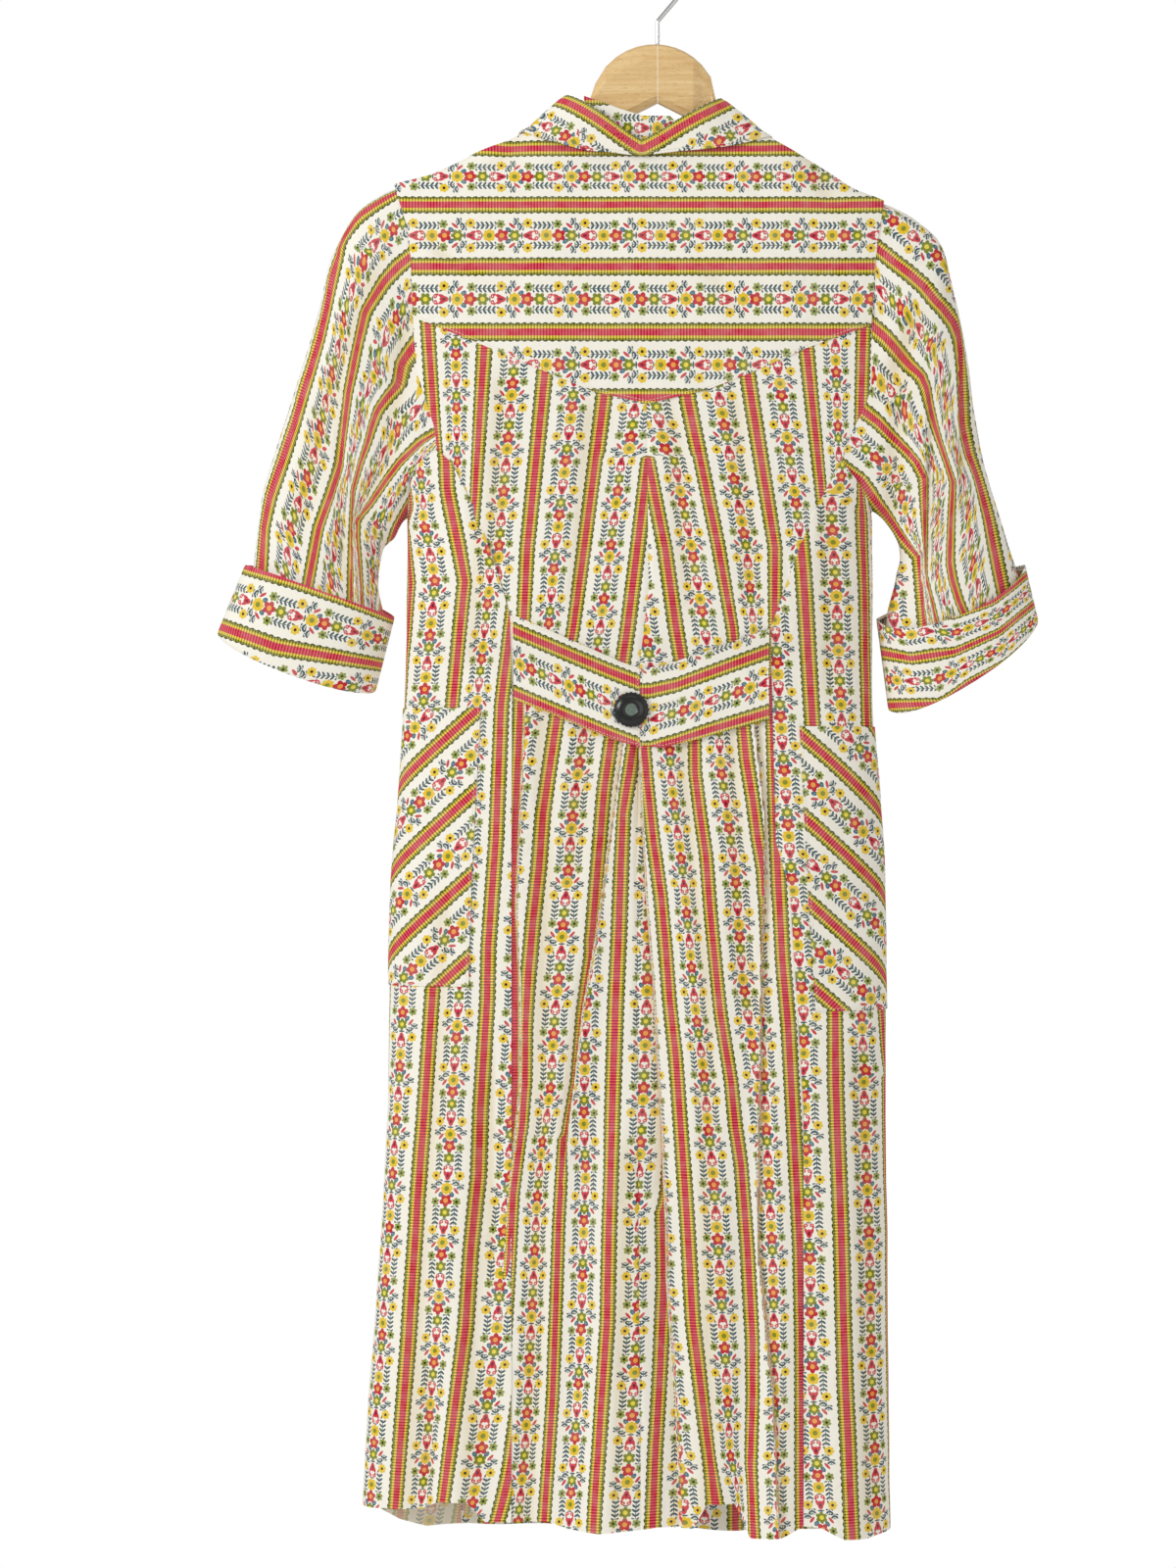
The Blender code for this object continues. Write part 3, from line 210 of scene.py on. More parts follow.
YOKE_SEAM = ((-210.0, 275.0), (-185.9, 283.8), (-130.8, 306.7), (-88.7, 325.1), (-50.5, 341.2), (-8.4, 351.0),
             (37.5, 340.4), (70.4, 327.4), (116.3, 306.7), (166.0, 287.6), (190.0, 280.0))
BACK_HEM = ((-240.0, 1211.0), (-206.7, 1213.4), (-182.0, 1211.9), (-170.0, 1206.0), (-148.0, 1206.0),
            (-134.5, 1221.0), (-84.4, 1221.0), (-70.7, 1225.6), (-46.4, 1227.9), (0.0, 1224.1),
            (28.0, 1225.6),
            (38.0, 1206.6), (60.0, 1206.6), (72.0, 1234.0), (97.3, 1233.2), (113.3, 1225.0), (127.7, 1226.3),
            (145.2, 1235.5), (162.7, 1236.2), (190.0, 1231.0))
FRONT_HEM = ((-240.0, 1213.0), (-206.0, 1236.0), (-185.6, 1243.0), (-150.9, 1241.1), (34.8, 1246.0),
             (64.8, 1248.5), (150.0, 1243.0), (190.0, 1233.0))

# Neck: the edge of the body under the collar
BACK_NECK = ((-72.1, 114.0), (-60.0, 128.0), (-40.0, 139.0), (-12.4, 145.0), (12.0, 141.0), (32.0, 130.0),
             (49.6, 114.0))
FRONT_NECK = ((-72.1, 114.0), (-58.0, 150.0), (-36.0, 205.0), (-12.4, 262.0), (10.0, 205.0), (34.0, 150.0),
              (49.6, 114.0))

# Sleeves: outer and inner point of each ring
# Columns: x_out, drop_out, x_in, drop_in, half_depth
SLEEVE_LEFT = (
    (-214.7, 177.4, -196.4, 436.0, 28.0),
    (-228.0, 184.0, -199.5, 437.5, 29.0),
    (-244.9, 199.1, -202.5, 440.5, 31.0),
    (-261.2, 233.2, -205.5, 446.0, 32.0),
    (-268.2, 271.2, -208.5, 452.6, 32.0),
    (-279.8, 317.0, -213.1, 456.5, 31.0),
    (-291.4, 352.6, -217.0, 461.1, 30.0),
    (-303.0, 387.5, -219.3, 470.4, 29.0),
    (-312.3, 418.5, -220.9, 482.8, 28.0),
    (-316.5, 447.0, -221.0, 495.0, 27.0),
)
SLEEVE_RIGHT = (
    (182.9, 189.1, 168.6, 431.0, 28.0),
    (194.0, 194.0, 172.5, 432.5, 29.0),
    (208.5, 203.8, 177.0, 437.0, 31.0),
    (225.5, 221.5, 182.1, 444.8, 32.0),
    (234.1, 254.9, 186.8, 451.0, 32.0),
    (240.2, 286.7, 189.7, 456.5, 31.0),
    (245.7, 320.0, 191.0, 462.9, 30.0),
    (250.6, 358.2, 191.2, 470.9, 29.0),
    (258.3, 398.0, 189.1, 479.4, 28.0),
    (268.9, 431.7, 187.0, 491.0, 27.0),
)
SETTLE = (1.0, 0.82, 0.55, 0.28, 0.1, 0.0)

# Cuffs: the four corners of each and how far its near and far edges hang below them
# Columns: x_out, drop_out, x_in, drop_in, half_depth, near_sag, far_sag
CUFF_TOP_LEFT = (-322.4, 475.5, -211.6, 514.6, 33.0, 0.0, -7.0)
CUFF_FOLD_LEFT = (-347.2, 528.5, -224.0, 573.5, 32.0, 11.0, 9.0)
CUFF_TOP_RIGHT = (287.5, 474.6, 176.0, 515.5, 33.0, 22.0, -4.0)
CUFF_FOLD_RIGHT = (300.7, 518.5, 183.0, 588.8, 32.0, 17.0, 12.0)
CUFF_DEPTH = 66.0
# Collar: from the middle back round to the point of the front neck
# Columns: x_roll, drop_roll, y_roll, x_edge, drop_edge, y_edge
COLLAR_LEFT = (
    (-12.55, 141.9, -21.0, -12.55, 154.2, -22.0),
    (-26.0, 133.0, -21.0, -25.0, 153.2, -22.5),
    (-40.0, 122.5, -20.0, -38.0, 151.4, -22.5),
    (-56.0, 111.5, -16.5, -57.0, 149.6, -22.0),
    (-68.0, 104.5, -8.0, -83.0, 142.0, -19.0),
    (-73.5, 103.0, 0.0, -104.0, 134.5, -7.0),
    (-73.0, 107.0, 9.0, -110.0, 136.5, 9.5),
    (-69.0, 122.0, 17.5, -104.0, 152.0, 20.5),
    (-58.0, 154.0, 23.0, -92.0, 185.0, 26.0),
    (-38.0, 204.0, 29.0, -66.0, 226.0, 31.0),
    (-13.0, 259.0, 34.0, -26.0, 268.0, 35.0),
)
COLLAR_RIGHT = (
    (-12.25, 141.9, -21.0, -12.25, 154.2, -22.0),
    (2.0, 134.0, -21.0, 4.0, 152.2, -22.5),
    (17.0, 124.5, -20.0, 20.0, 150.4, -22.5),
    (34.0, 114.5, -16.5, 38.0, 148.6, -22.0),
    (46.0, 107.5, -8.0, 60.0, 145.0, -19.0),
    (50.5, 105.0, 0.0, 86.0, 137.5, -7.0),
    (50.0, 108.0, 9.0, 90.0, 139.0, 9.5),
    (46.0, 123.0, 17.5, 83.0, 153.0, 20.5),
    (34.0, 154.0, 23.0, 68.0, 185.0, 26.0),
    (13.0, 204.0, 29.0, 42.0, 226.0, 31.0),
    (-11.8, 259.0, 34.0, 2.0, 268.0, 35.0),
)
# Columns: x, drop_top, drop_foot
BAND = ((-58.0, 105.0, 131.0), (-45.5, 109.7, 140.0), (-30.0, 115.5, 147.0), (-12.3, 121.3, 151.0),
        (9.5, 121.3, 148.0), (17.0, 128.0, 144.0))

# Half-belt, button and pockets
# Columns: x, drop_top, drop_foot
BELT_LEFT = ((-112.2, 515.4, 580.9), (-86.0, 526.5, 591.0), (-57.0, 539.0, 603.5), (-33.0, 549.5, 613.0),
             (-14.0, 557.5, 618.5))
BELT_RIGHT = ((-7.0, 557.5, 617.0), (4.0, 554.5, 619.0), (30.0, 546.0, 612.5), (58.0, 536.0, 604.5),
              (86.6, 526.0, 597.2))
# Columns: drop, x_inner
POCKET_LEFT = ((587.5, -137.9), (711.0, -144.0), (805.0, -147.0), (1240.0, -147.0))
POCKET_RIGHT = ((602.0, 110.5), (737.0, 117.0), (804.0, 121.5), (824.0, 123.0), (1240.0, 132.0))
POCKET_TOP_LEFT = 587.5
POCKET_TOP_RIGHT = 602.0
POCKET_FOOT_LEFT = 805.0
POCKET_FOOT_RIGHT = 824.0


def interp(table, value):
    """Read a (key, result) table at a value or an array of them."""
    rows = sorted(table, key=lambda row: row[0])
    keys = [row[0] for row in rows]
    results = [row[1] for row in rows]
    return np.interp(value, keys, results)


def along_drop(table, drop):
    """x of an edge at a drop."""
    rows = sorted(table, key=lambda row: row[1])
    return np.interp(drop, [row[1] for row in rows], [row[0] for row in rows])


def smooth_column(table, column):
    """Dense samples of one column against the first, through a monotone cubic curve."""
    keys = np.array([row[0] for row in table], dtype=float)
    values = np.array([row[column] for row in table], dtype=float)
    steps = np.diff(keys)
    slopes = np.diff(values) / steps
    tangents = np.zeros(len(keys))
    tangents[0] = slopes[0]
    tangents[-1] = slopes[-1]
    for row in range(1, len(keys) - 1):
        if slopes[row - 1] * slopes[row] > 0.0:
            tangents[row] = 2.0 * slopes[row - 1] * slopes[row] / (slopes[row - 1] + slopes[row])
    dense = np.arange(keys[0], keys[-1] + 1.0, 1.0)
    cell = np.clip(np.searchsorted(keys, dense, side="right") - 1, 0, len(steps) - 1)
    part = (dense - keys[cell]) / steps[cell]
    rise = part * part * (3.0 - 2.0 * part)
    leave = part * (1.0 - part) ** 2
    arrive = part * part * (part - 1.0)
    curve = values[cell] * (1.0 - rise) + values[cell + 1] * rise
    curve = curve + steps[cell] * (leave * tangents[cell] + arrive * tangents[cell + 1])
    return dense, curve


DROPS, HALF_LEFT = smooth_column(BODY, 1)
HALF_RIGHT = smooth_column(BODY, 2)[1]
HALF_DEPTH = smooth_column(BODY, 3)[1]


def half_width(x, drop):
    """Half the body's width at a drop, on the side of the middle that x is on."""
    left = np.interp(drop, DROPS, HALF_LEFT)
    right = np.interp(drop, DROPS, HALF_RIGHT)
    return np.where(np.asarray(x) < MIDDLE, left, right)


def half_depth(drop):
    """Half the body's depth at a drop."""
    return np.interp(drop, DROPS, HALF_DEPTH)


def flutes(x, drop, face):
    """How far the cloth lies in from the plain body at a point of its back or front."""
    total = np.zeros(np.broadcast(x, drop).shape)
    for row_face, x_top, drop_top, x_hem, depth, width in FLUTES:
        if row_face != face:
            continue
        part = np.clip((drop - drop_top) / (FLUTE_HEM_DROP - drop_top), 0.0, 1.1)
        middle = x_top + (x_hem - x_top) * part
        total = total + depth * np.sqrt(part) * np.exp(-((x - middle) / width) ** 2)
    edge = np.clip(np.abs(x - MIDDLE) / half_width(x, drop), 0.0, 1.0)
    return total * (1.0 - edge ** 6)


def body_y(x, drop, face):
    """y of the body's skin, back (face -1) or front (face 1)."""
    across = np.clip(np.abs(x - MIDDLE) / half_width(x, drop), 0.0, 1.0)
    plain = half_depth(drop) * np.maximum(1.0 - across ** ROUND, 0.0) ** (1.0 / ROUND)
    return face * (plain - flutes(x, drop, face) * np.minimum(plain / 12.0, 1.0))


def top_of_yoke(x):
    """Drop of the shoulder ridge outside the neck."""
    left = np.interp(MIDDLE - x, HALF_LEFT[:90], DROPS[:90])
    right = np.interp(x - MIDDLE, HALF_RIGHT[:90], DROPS[:90])
    return np.where(x < MIDDLE, left, right)


def upper_edge(x, neck):
    """Drop of the upper edge of the yoke or the front: the neck, then the shoulder ridge."""
    inside = (x > neck[0][0]) & (x < neck[-1][0])
    return np.where(inside, interp(neck, x), top_of_yoke(x))


def angle_of(x, drop, side, face):
    """Angle from the middle back (0) round a side to the middle front (pi)."""
    width = half_width(np.full(np.shape(drop), MIDDLE + side), drop)
    part = np.clip(np.abs(x - MIDDLE) / width, 0.0, 1.0)
    angle = np.arcsin(part ** (ROUND / 2.0))
    return np.where(np.asarray(face) < 0, angle, math.pi - angle)


def round_body(angle, drop, side):
    """x of the point at an angle round the body."""
    width = half_width(np.full(np.shape(drop), MIDDLE + side), drop)
    return MIDDLE + side * width * np.abs(np.sin(angle)) ** (2.0 / ROUND)


def along(points, part):
    """x and drop at a part of the way along a line of points."""
    points = np.asarray(points, dtype=float)
    lengths = np.concatenate([[0.0], np.cumsum(np.hypot(*np.diff(points, axis=0).T))])
    place = part * lengths[-1]
    return np.interp(place, lengths, points[:, 0]), np.interp(place, lengths, points[:, 1])


def on_skin(x, drop, face, ridge=0.0):
    """Points of the body's skin."""
    y = body_y(x, drop, face)
    if ridge:
        y = face * np.maximum(face * y, ridge)
    return np.stack([x, y, -np.asarray(drop, dtype=float)], axis=-1)


def grid_normals(points, centre=None, ring=False):
    """Unit normals of a grid, turned away from a centre. A ring's last column lies on its first."""
    wide = np.concatenate([points[:, -2:-1], points, points[:, 1:2]], axis=1) if ring else points
    normal = np.cross(np.gradient(wide, axis=0), np.gradient(wide, axis=1))
    normal = normal[:, 1:-1] if ring else normal
    normal = normal / (np.linalg.norm(normal, axis=-1, keepdims=True) + 1e-9)
    if centre is not None and np.sum(normal * (points - centre)) < 0.0:
        normal = -normal
    return normal


def photo_place(points):
    """The photograph's pixel column and row of points of the dress."""
    near = (EYE_BACK + points[..., 1]) / EYE_BACK
    column = PHOTO_X + points[..., 0] / (PHOTO_SCALE * near)
    row = ((-points[..., 2] - EYE_DROP) / near + EYE_DROP - PHOTO_TOP) / PHOTO_SCALE
    return column, row


def run_along(points, axis=1):
    """Distance along the rows of a grid."""
    steps = np.linalg.norm(np.diff(points, axis=axis), axis=-1)
    start = np.zeros_like(np.take(steps, [0], axis=axis))
    return np.concatenate([start, np.cumsum(steps, axis=axis)], axis=axis)


def line_at(line, row):
    """Pixel column of a (row, column) line at pixel rows."""
    rows = [place[0] for place in line]
    columns = [place[1] for place in line]
    return np.interp(row, rows, columns)


def stripes_across(points, lines, creases=()):
    """Stripe count at each point of a grid, from the lines of ribbons seen in the photograph.

    Every row starts at a seam and runs towards the silhouette, and may go on behind it. It is cut by
    the lines; between two of them the cloth is even, and where a crease swallows cloth the count
    jumps by what is missing. Elsewhere it goes on by the distance along the cloth.
    """
    column, row = photo_place(points)
    run = run_along(points)
    count = np.zeros(column.shape)
    last = [(0.0, 0.0)]
    for index in range(column.shape[0]):
        here, level, far = column[index], row[index], run[index]
        reach = int(np.argmax(np.abs(here - here[0]))) + 1
        sign = 1.0 if here[reach - 1] > here[0] else -1.0
        nodes = []
        for value, line in lines:
            past = sign * (here[:reach] - line_at(line, level[:reach]))
            if past[0] > 0.0:
                place, height = far[0] - past[0] * PHOTO_SCALE, level[0]
            elif past[-1] < 0.0:
                if reach < len(here):
                    continue
                place, height = far[-1] - past[-1] * PHOTO_SCALE, level[-1]
            else:
                place = float(np.interp(0.0, past, far[:reach]))
                height = float(np.interp(place, far[:reach], level[:reach]))
            held = line[0][0] - 1.0 <= height <= line[-1][0] + 1.0
            if held and far[0] - STRAY < place < far[-1] + STRAY:
                nodes.append((place, float(value)))
        nodes.sort()
        table = list(nodes)
        for line in creases:
            past = sign * (here[:reach] - line_at(line, level[:reach]))
            if past[0] > 0.0 or past[-1] < 0.0:
                continue
            place = float(np.interp(0.0, past, far[:reach]))
            height = float(np.interp(place, far[:reach], level[:reach]))
            rows = [step[0] for step in line]
            if rows[0] < height < rows[-1]:
                left = float(np.interp(height, rows, [step[2] for step in line]))
                right = float(np.interp(height, rows, [step[3] for step in line]))
                table.append((place - 0.5, left if sign > 0.0 else right))
                table.append((place + 0.5, right if sign > 0.0 else left))
        table = sorted(table) or last
        last = table
        places = np.array([node[0] for node in table])
        values = np.array([node[1] for node in table])
        result = np.interp(far, places, values)
        result = np.where(far < places[0], values[0] - sign * (places[0] - far) / REPEAT, result)
        count[index] = np.where(far > places[-1], values[-1] + sign * (far - places[-1]) / REPEAT, result)
    return count


def ribbon_field(column, row, lines):
    """Stripe count and distance down the ribbons, in pixels, at places in the photograph.

    lines are ribbons' middles, from left to right, each followed downwards as (row, column) points
    and carried on straight past its ends.
    """
    spots = np.stack([column.ravel(), row.ravel()], axis=1)
    each = np.arange(len(spots))
    found = []
    for value, line in lines:
        way = np.array([(place[1], place[0]) for place in line], dtype=float)
        start, step = way[:-1], np.diff(way, axis=0)
        length = np.linalg.norm(step, axis=1)
        share = ((spots[:, None] - start) * step).sum(axis=-1) / length ** 2
        low = np.where(np.arange(len(step)) == 0, -9.0, 0.0)
        high = np.where(np.arange(len(step)) == len(step) - 1, 9.0, 1.0)
        share = np.clip(share, low, high)
        gap = np.linalg.norm(spots[:, None] - start - share[..., None] * step, axis=-1)
        best = gap.argmin(axis=1)
        apart = spots[:, None] - start
        turn = step[:, 1] * apart[..., 0] - step[:, 0] * apart[..., 1]
        away = gap[each, best] * np.sign(turn[each, best])
        before = np.concatenate([[0.0], np.cumsum(length)])
        run = before[best] + share[each, best] * length[best]
        found.append((value, away, run))
    value, away, run = found[0]
    count, along_px = value + away / PITCH_PX, run.copy()
    for (value, away, run), (_, next_away, next_run) in zip(found, found[1:]):
        part = np.clip(away / np.maximum(away - next_away, 1.0), 0.0, 1.0)
        inside = away >= 0.0
        count = np.where(inside, value + part, count)
        along_px = np.where(inside, run + (next_run - run) * part, along_px)
    value, away, run = found[-1]
    count = np.where(away > 0.0, value + away / PITCH_PX, count)
    along_px = np.where(away > 0.0, run, along_px)
    return count.reshape(column.shape), along_px.reshape(column.shape)


def creased(points, normal, creases):
    """Points moved by the creases of the photograph, and how deep in a crease each lies (0 to 1).

    over is 1 where the cloth on the photograph's right of the line lies over the rest, -1 where the
    left does, and 0 for a soft trough; a negative height with 0 is a soft ridge.
    """
    column, row = photo_place(points)
    move = np.zeros(column.shape)
    depth = np.zeros(column.shape)
    for line, over, height, near, far in creases:
        start, end = line[0][0], line[-1][0]
        fade = np.clip(np.minimum((row - start) / FADE_PX, (end - row) / FADE_PX), 0.0, 1.0)
        fade = fade * fade * (3.0 - 2.0 * fade)
        away = (column - line_at(line, row)) * PHOTO_SCALE
        if over == 0:
            shape = -height * np.exp(-(away / near) ** 2)
        else:
            upper = height * np.exp(-(away / near) ** 2)
            lower = -height * np.exp(-(away / far) ** 2)
            shape = np.where(away * over > 0.0, upper, lower)
        move = move + shape * fade
        # painted shade: the depth in a crease is kept, and the cloth's material darkens its colour with it
        depth = np.maximum(depth, np.clip(-shape * fade / SHADE_DEPTH, 0.0, 1.0))
    return points + normal * move[..., None], depth


def placed(name, data):
    """A new object with this data, linked into the scene."""
    item = bpy.data.objects.new(name, data)
    bpy.context.scene.collection.objects.link(item)
    return item


def shell(name, skin, chart, outer_finish, inner_finish, inside=None, thick=THIN, centre=None, join=False,
          shade=None, inner_right=None, other=None):
    """A thin closed wall on a grid of points, its print laid by a chart of (across, along) in repeats.

    inner_right marks points whose inner side shows the cloth's right side, as on a turned-up hem.
    other is a second chart and the points where it holds, past a seam that the grid runs over.
    """
    normal = grid_normals(skin, centre, join)
    check = grid_normals(skin)
    if np.sum(normal * check) < 0.0:
        skin, chart, normal = skin[:, ::-1], chart[:, ::-1], normal[:, ::-1]
        shade = None if shade is None else shade[:, ::-1]
        inner_right = None if inner_right is None else inner_right[:, ::-1]
        other = None if other is None else (other[0][:, ::-1], other[1][:, ::-1])
    if inside is None:
        inside = skin - normal * thick
    rows, columns = skin.shape[0], skin.shape[1]
    half = rows * columns
    points = np.concatenate([skin.reshape(-1, 3), inside.reshape(-1, 3)]) * MM
    grid = np.arange(half).reshape(rows, columns)
    a, b = grid[:-1, :-1].ravel(), grid[:-1, 1:].ravel()
    d, c = grid[1:, :-1].ravel(), grid[1:, 1:].ravel()
    outer_faces = np.stack([a, d, c, b], axis=1)
    inner_faces = np.stack([a, b, c, d], axis=1) + half
    rims = [(grid[0, :-1], grid[0, 1:]), (grid[-1, 1:], grid[-1, :-1])]
    if not join:
        rims += [(grid[1:, 0], grid[:-1, 0]), (grid[:-1, -1], grid[1:, -1])]
    rim_faces = np.concatenate([np.stack([one, two, two + half, one + half], axis=1) for one, two in rims])
    faces = np.concatenate([outer_faces, inner_faces, rim_faces])
    mesh = bpy.data.meshes.new(name)
    mesh.from_pydata(points.tolist(), [], faces.tolist())
    flat_chart = np.concatenate([chart.reshape(-1, 2), chart.reshape(-1, 2)])
    corners = flat_chart[faces]
    if other is not None:
        second = np.concatenate([other[0].reshape(-1, 2), other[0].reshape(-1, 2)])[faces]
        past = (other[1][:-1, :-1] & other[1][:-1, 1:]).ravel()
        past = np.concatenate([past, past, np.zeros(len(rim_faces), dtype=bool)])
        corners[past] = second[past]
    layer = mesh.uv_layers.new(name="print")
    layer.data.foreach_set("uv", corners.reshape(-1, 2).astype(np.float32).ravel())
    slots = np.zeros(len(faces), dtype=np.int32)
    slots[len(outer_faces):len(outer_faces) + len(inner_faces)] = 1
    if inner_right is not None:
        shown = inner_right[:-1, :-1].ravel()
        slots[len(outer_faces):len(outer_faces) + len(inner_faces)][shown] = 0
    mesh.materials.append(outer_finish)
    mesh.materials.append(inner_finish)
    mesh.polygons.foreach_set("material_index", slots)
    # painted shade: each point's depth in a crease goes to the material as an attribute
    level = np.zeros(half) if shade is None else shade.ravel()
    mark = mesh.attributes.new("painted_fold_shade", "FLOAT", "POINT")
    mark.data.foreach_set("value", np.concatenate([level, level]).astype(np.float32))
    mesh.update()
    if join:
        work = bmesh.new()
        work.from_mesh(mesh)
        bmesh.ops.remove_doubles(work, verts=work.verts, dist=1e-7)
        work.to_mesh(mesh)
        work.free()
    mesh.shade_smooth()
    mesh.set_sharp_from_angle(angle=math.radians(55.0))
    return placed(name, mesh)


def ripple(points, kind, side=-1):
    """Small uneven waves of worn cotton on one kind of piece: a few crossed waves of unlike lengths."""
    height, left, right = WAVES[kind]
    draw = np.random.default_rng(left if side < 0 else right)
    total = np.zeros(points.shape[:-1])
    for length, part in WAVE_LENGTHS:
        for _ in range(3):
            turn = draw.uniform(-0.5, 0.5) + (0.0 if draw.uniform() < 0.7 else 1.4)
            phase = draw.uniform(0.0, 6.28)
            across = points[..., 0] * math.cos(turn) + points[..., 2] * math.sin(turn) * 0.6
            bend = np.sin(points[..., 2] / (length * 1.9) + phase * 2.0)
            total = total + part * np.sin(across * 2.0 * math.pi / length + phase + 1.1 * bend)
    return height * total / 4.0


def even_parts(counts):
    """Even steps from 0 to 1 for each stretch of rows; each but the last stops short of the next."""
    steps = [np.linspace(0.0, 1.0, count) for count in counts]
    return [part[:-1] for part in steps[:-1]] + steps[-1:]


def back_grid(side, columns):
    """x and drop of a back panel from under the yoke's edge to the hem, from the middle seam outwards."""
    armhole = ARMHOLE_LEFT[:LEFT_CORNER + 1] if side < 0 else ARMHOLE_RIGHT[:RIGHT_CORNER + 1]
    princess = PRINCESS_LEFT if side < 0 else PRINCESS_RIGHT
    corner = princess[0][1]
    part = np.linspace(0.0, 1.0, columns)[None, :]
    top, long, low = even_parts(BACK_ROWS)
    x = np.repeat(MIDDLE + side * 150.0 * part, len(top) + len(long) + len(low), axis=0)
    for _ in range(ROUNDS):
        start = interp(YOKE_SEAM, x) - YOKE_LAP
        hem = interp(BACK_HEM, x)
        level = np.concatenate([
            start[:len(top)] + (corner - start[:len(top)]) * top[:, None],
            np.repeat((corner + (LOW_LEVEL - corner) * long)[:, None], columns, axis=1),
            LOW_LEVEL + (hem[-len(low):] - LOW_LEVEL) * low[:, None]])
        seam = along_drop(BACK_SEAM, level)
        tuck = np.clip((level - corner) / TUCK_FALL, 0.0, 1.0) * LAP
        edge = np.where(level <= corner, along_drop(armhole, level),
                        along_drop(princess, level) + side * tuck)
        goal = seam + (edge - seam) * part
        if side > 0:
            strip = lap_of_seam(level, seam)
            first = SEAM_COLUMN / (columns - 1.0)
            goal = np.where(part <= first, seam + strip * part / first,
                            seam + strip + (edge - seam - strip) * (part - first) / (1.0 - first))
        x = x + 0.5 * (goal - x)
    return x, level


def lap_of_seam(drop, seam):
    """How far right of the solid's middle seam the skirt's seam lies, under its crease."""
    row = (drop - EYE_DROP) / NEAR_BACK + EYE_DROP - PHOTO_TOP
    row = row / PHOTO_SCALE
    crease = (line_at(SEAM_CREASE, row) - PHOTO_X) * PHOTO_SCALE * NEAR_BACK
    below = np.clip((drop - SEAM_LAP_FROM) / SEAM_LAP_FADE, 0.0, 1.0)
    return SEAM_LAP + (np.maximum(crease - seam, SEAM_LAP_LEAST) - SEAM_LAP) * below


def front_grid(side, columns):
    """x and drop of a front panel from the shoulder and the V neck to the hem."""
    armhole = FRONT_ARMHOLE_LEFT[:5] if side < 0 else FRONT_ARMHOLE_RIGHT[:5]
    princess = FRONT_PRINCESS_LEFT if side < 0 else FRONT_PRINCESS_RIGHT
    corner = princess[0][1]
    neck = FRONT_NECK[:4] if side < 0 else FRONT_NECK[3:]
    neck_x, neck_drop = neck[0] if side < 0 else neck[-1]
    shoulder_drop = armhole[0][1]
    shoulder_x = armhole[0][0]
    reach = ((0.0, 0.0, 0.0), (3.0, 2.5, 0.0), (12.0, 10.0, 0.3), (50.0, 50.0, 1.0), (148.0, 160.0, 1.0))
    top = np.linspace(0.0, len(reach) - 1.0, 44)
    low = np.interp(top, range(len(reach)), [row[0] for row in reach])[:, None]
    high = np.interp(top, range(len(reach)), [row[1] for row in reach])[:, None]
    rounds = np.interp(top, range(len(reach)), [row[2] for row in reach])[:, None]
    long = np.linspace(0.0, 1.0, 130)[1:-1]
    foot = np.linspace(0.0, 1.0, 20)
    part = np.linspace(0.0, 1.0, columns)[None, :]
    rows = len(top) + len(long) + len(foot)
    x = np.repeat(MIDDLE + side * 150.0 * part, rows, axis=0)
    middle_top = neck_drop + low
    edge_top = shoulder_drop + high
    for _ in range(ROUNDS):
        xt = x[:len(top)]
        share = np.clip((xt - neck_x) / (shoulder_x - neck_x), 0.0, 1.0)
        ridge = np.maximum(top_of_yoke(xt), neck_drop) + 0.2
        run = ridge + low + (high - low) * share
        straight = middle_top + (edge_top - middle_top) * share
        level_top = np.where(side * (xt - neck_x) > 0, run + (straight - run) * rounds, middle_top + 0.0 * xt)
        start = level_top[-1:, :]
        level_long = start + (LOW_LEVEL - start) * long[:, None]
        hem = interp(FRONT_HEM, x[-len(foot):])
        level_foot = LOW_LEVEL + (hem - LOW_LEVEL) * foot[:, None]
        level = np.concatenate([level_top, level_long, level_foot])
        middle_level = np.concatenate([middle_top + 0.0 * xt[:, :1], level[len(top):, :1]])
        edge_level = np.concatenate([edge_top + 0.0 * xt[:, :1], level[len(top):, -1:]])
        neck_line = np.where(middle_level < 262.0, along_drop(neck, middle_level), MIDDLE)
        middle = MIDDLE + side * np.abs(neck_line - MIDDLE)
        tuck = np.clip((edge_level - corner) / TUCK_FALL, 0.0, 1.0) * LAP
        edge = np.where(edge_level <= corner, along_drop(armhole, edge_level),
                        along_drop(princess, edge_level) + side * tuck)
        x = x + 0.5 * (middle + (edge - middle) * part - x)
    return x, level


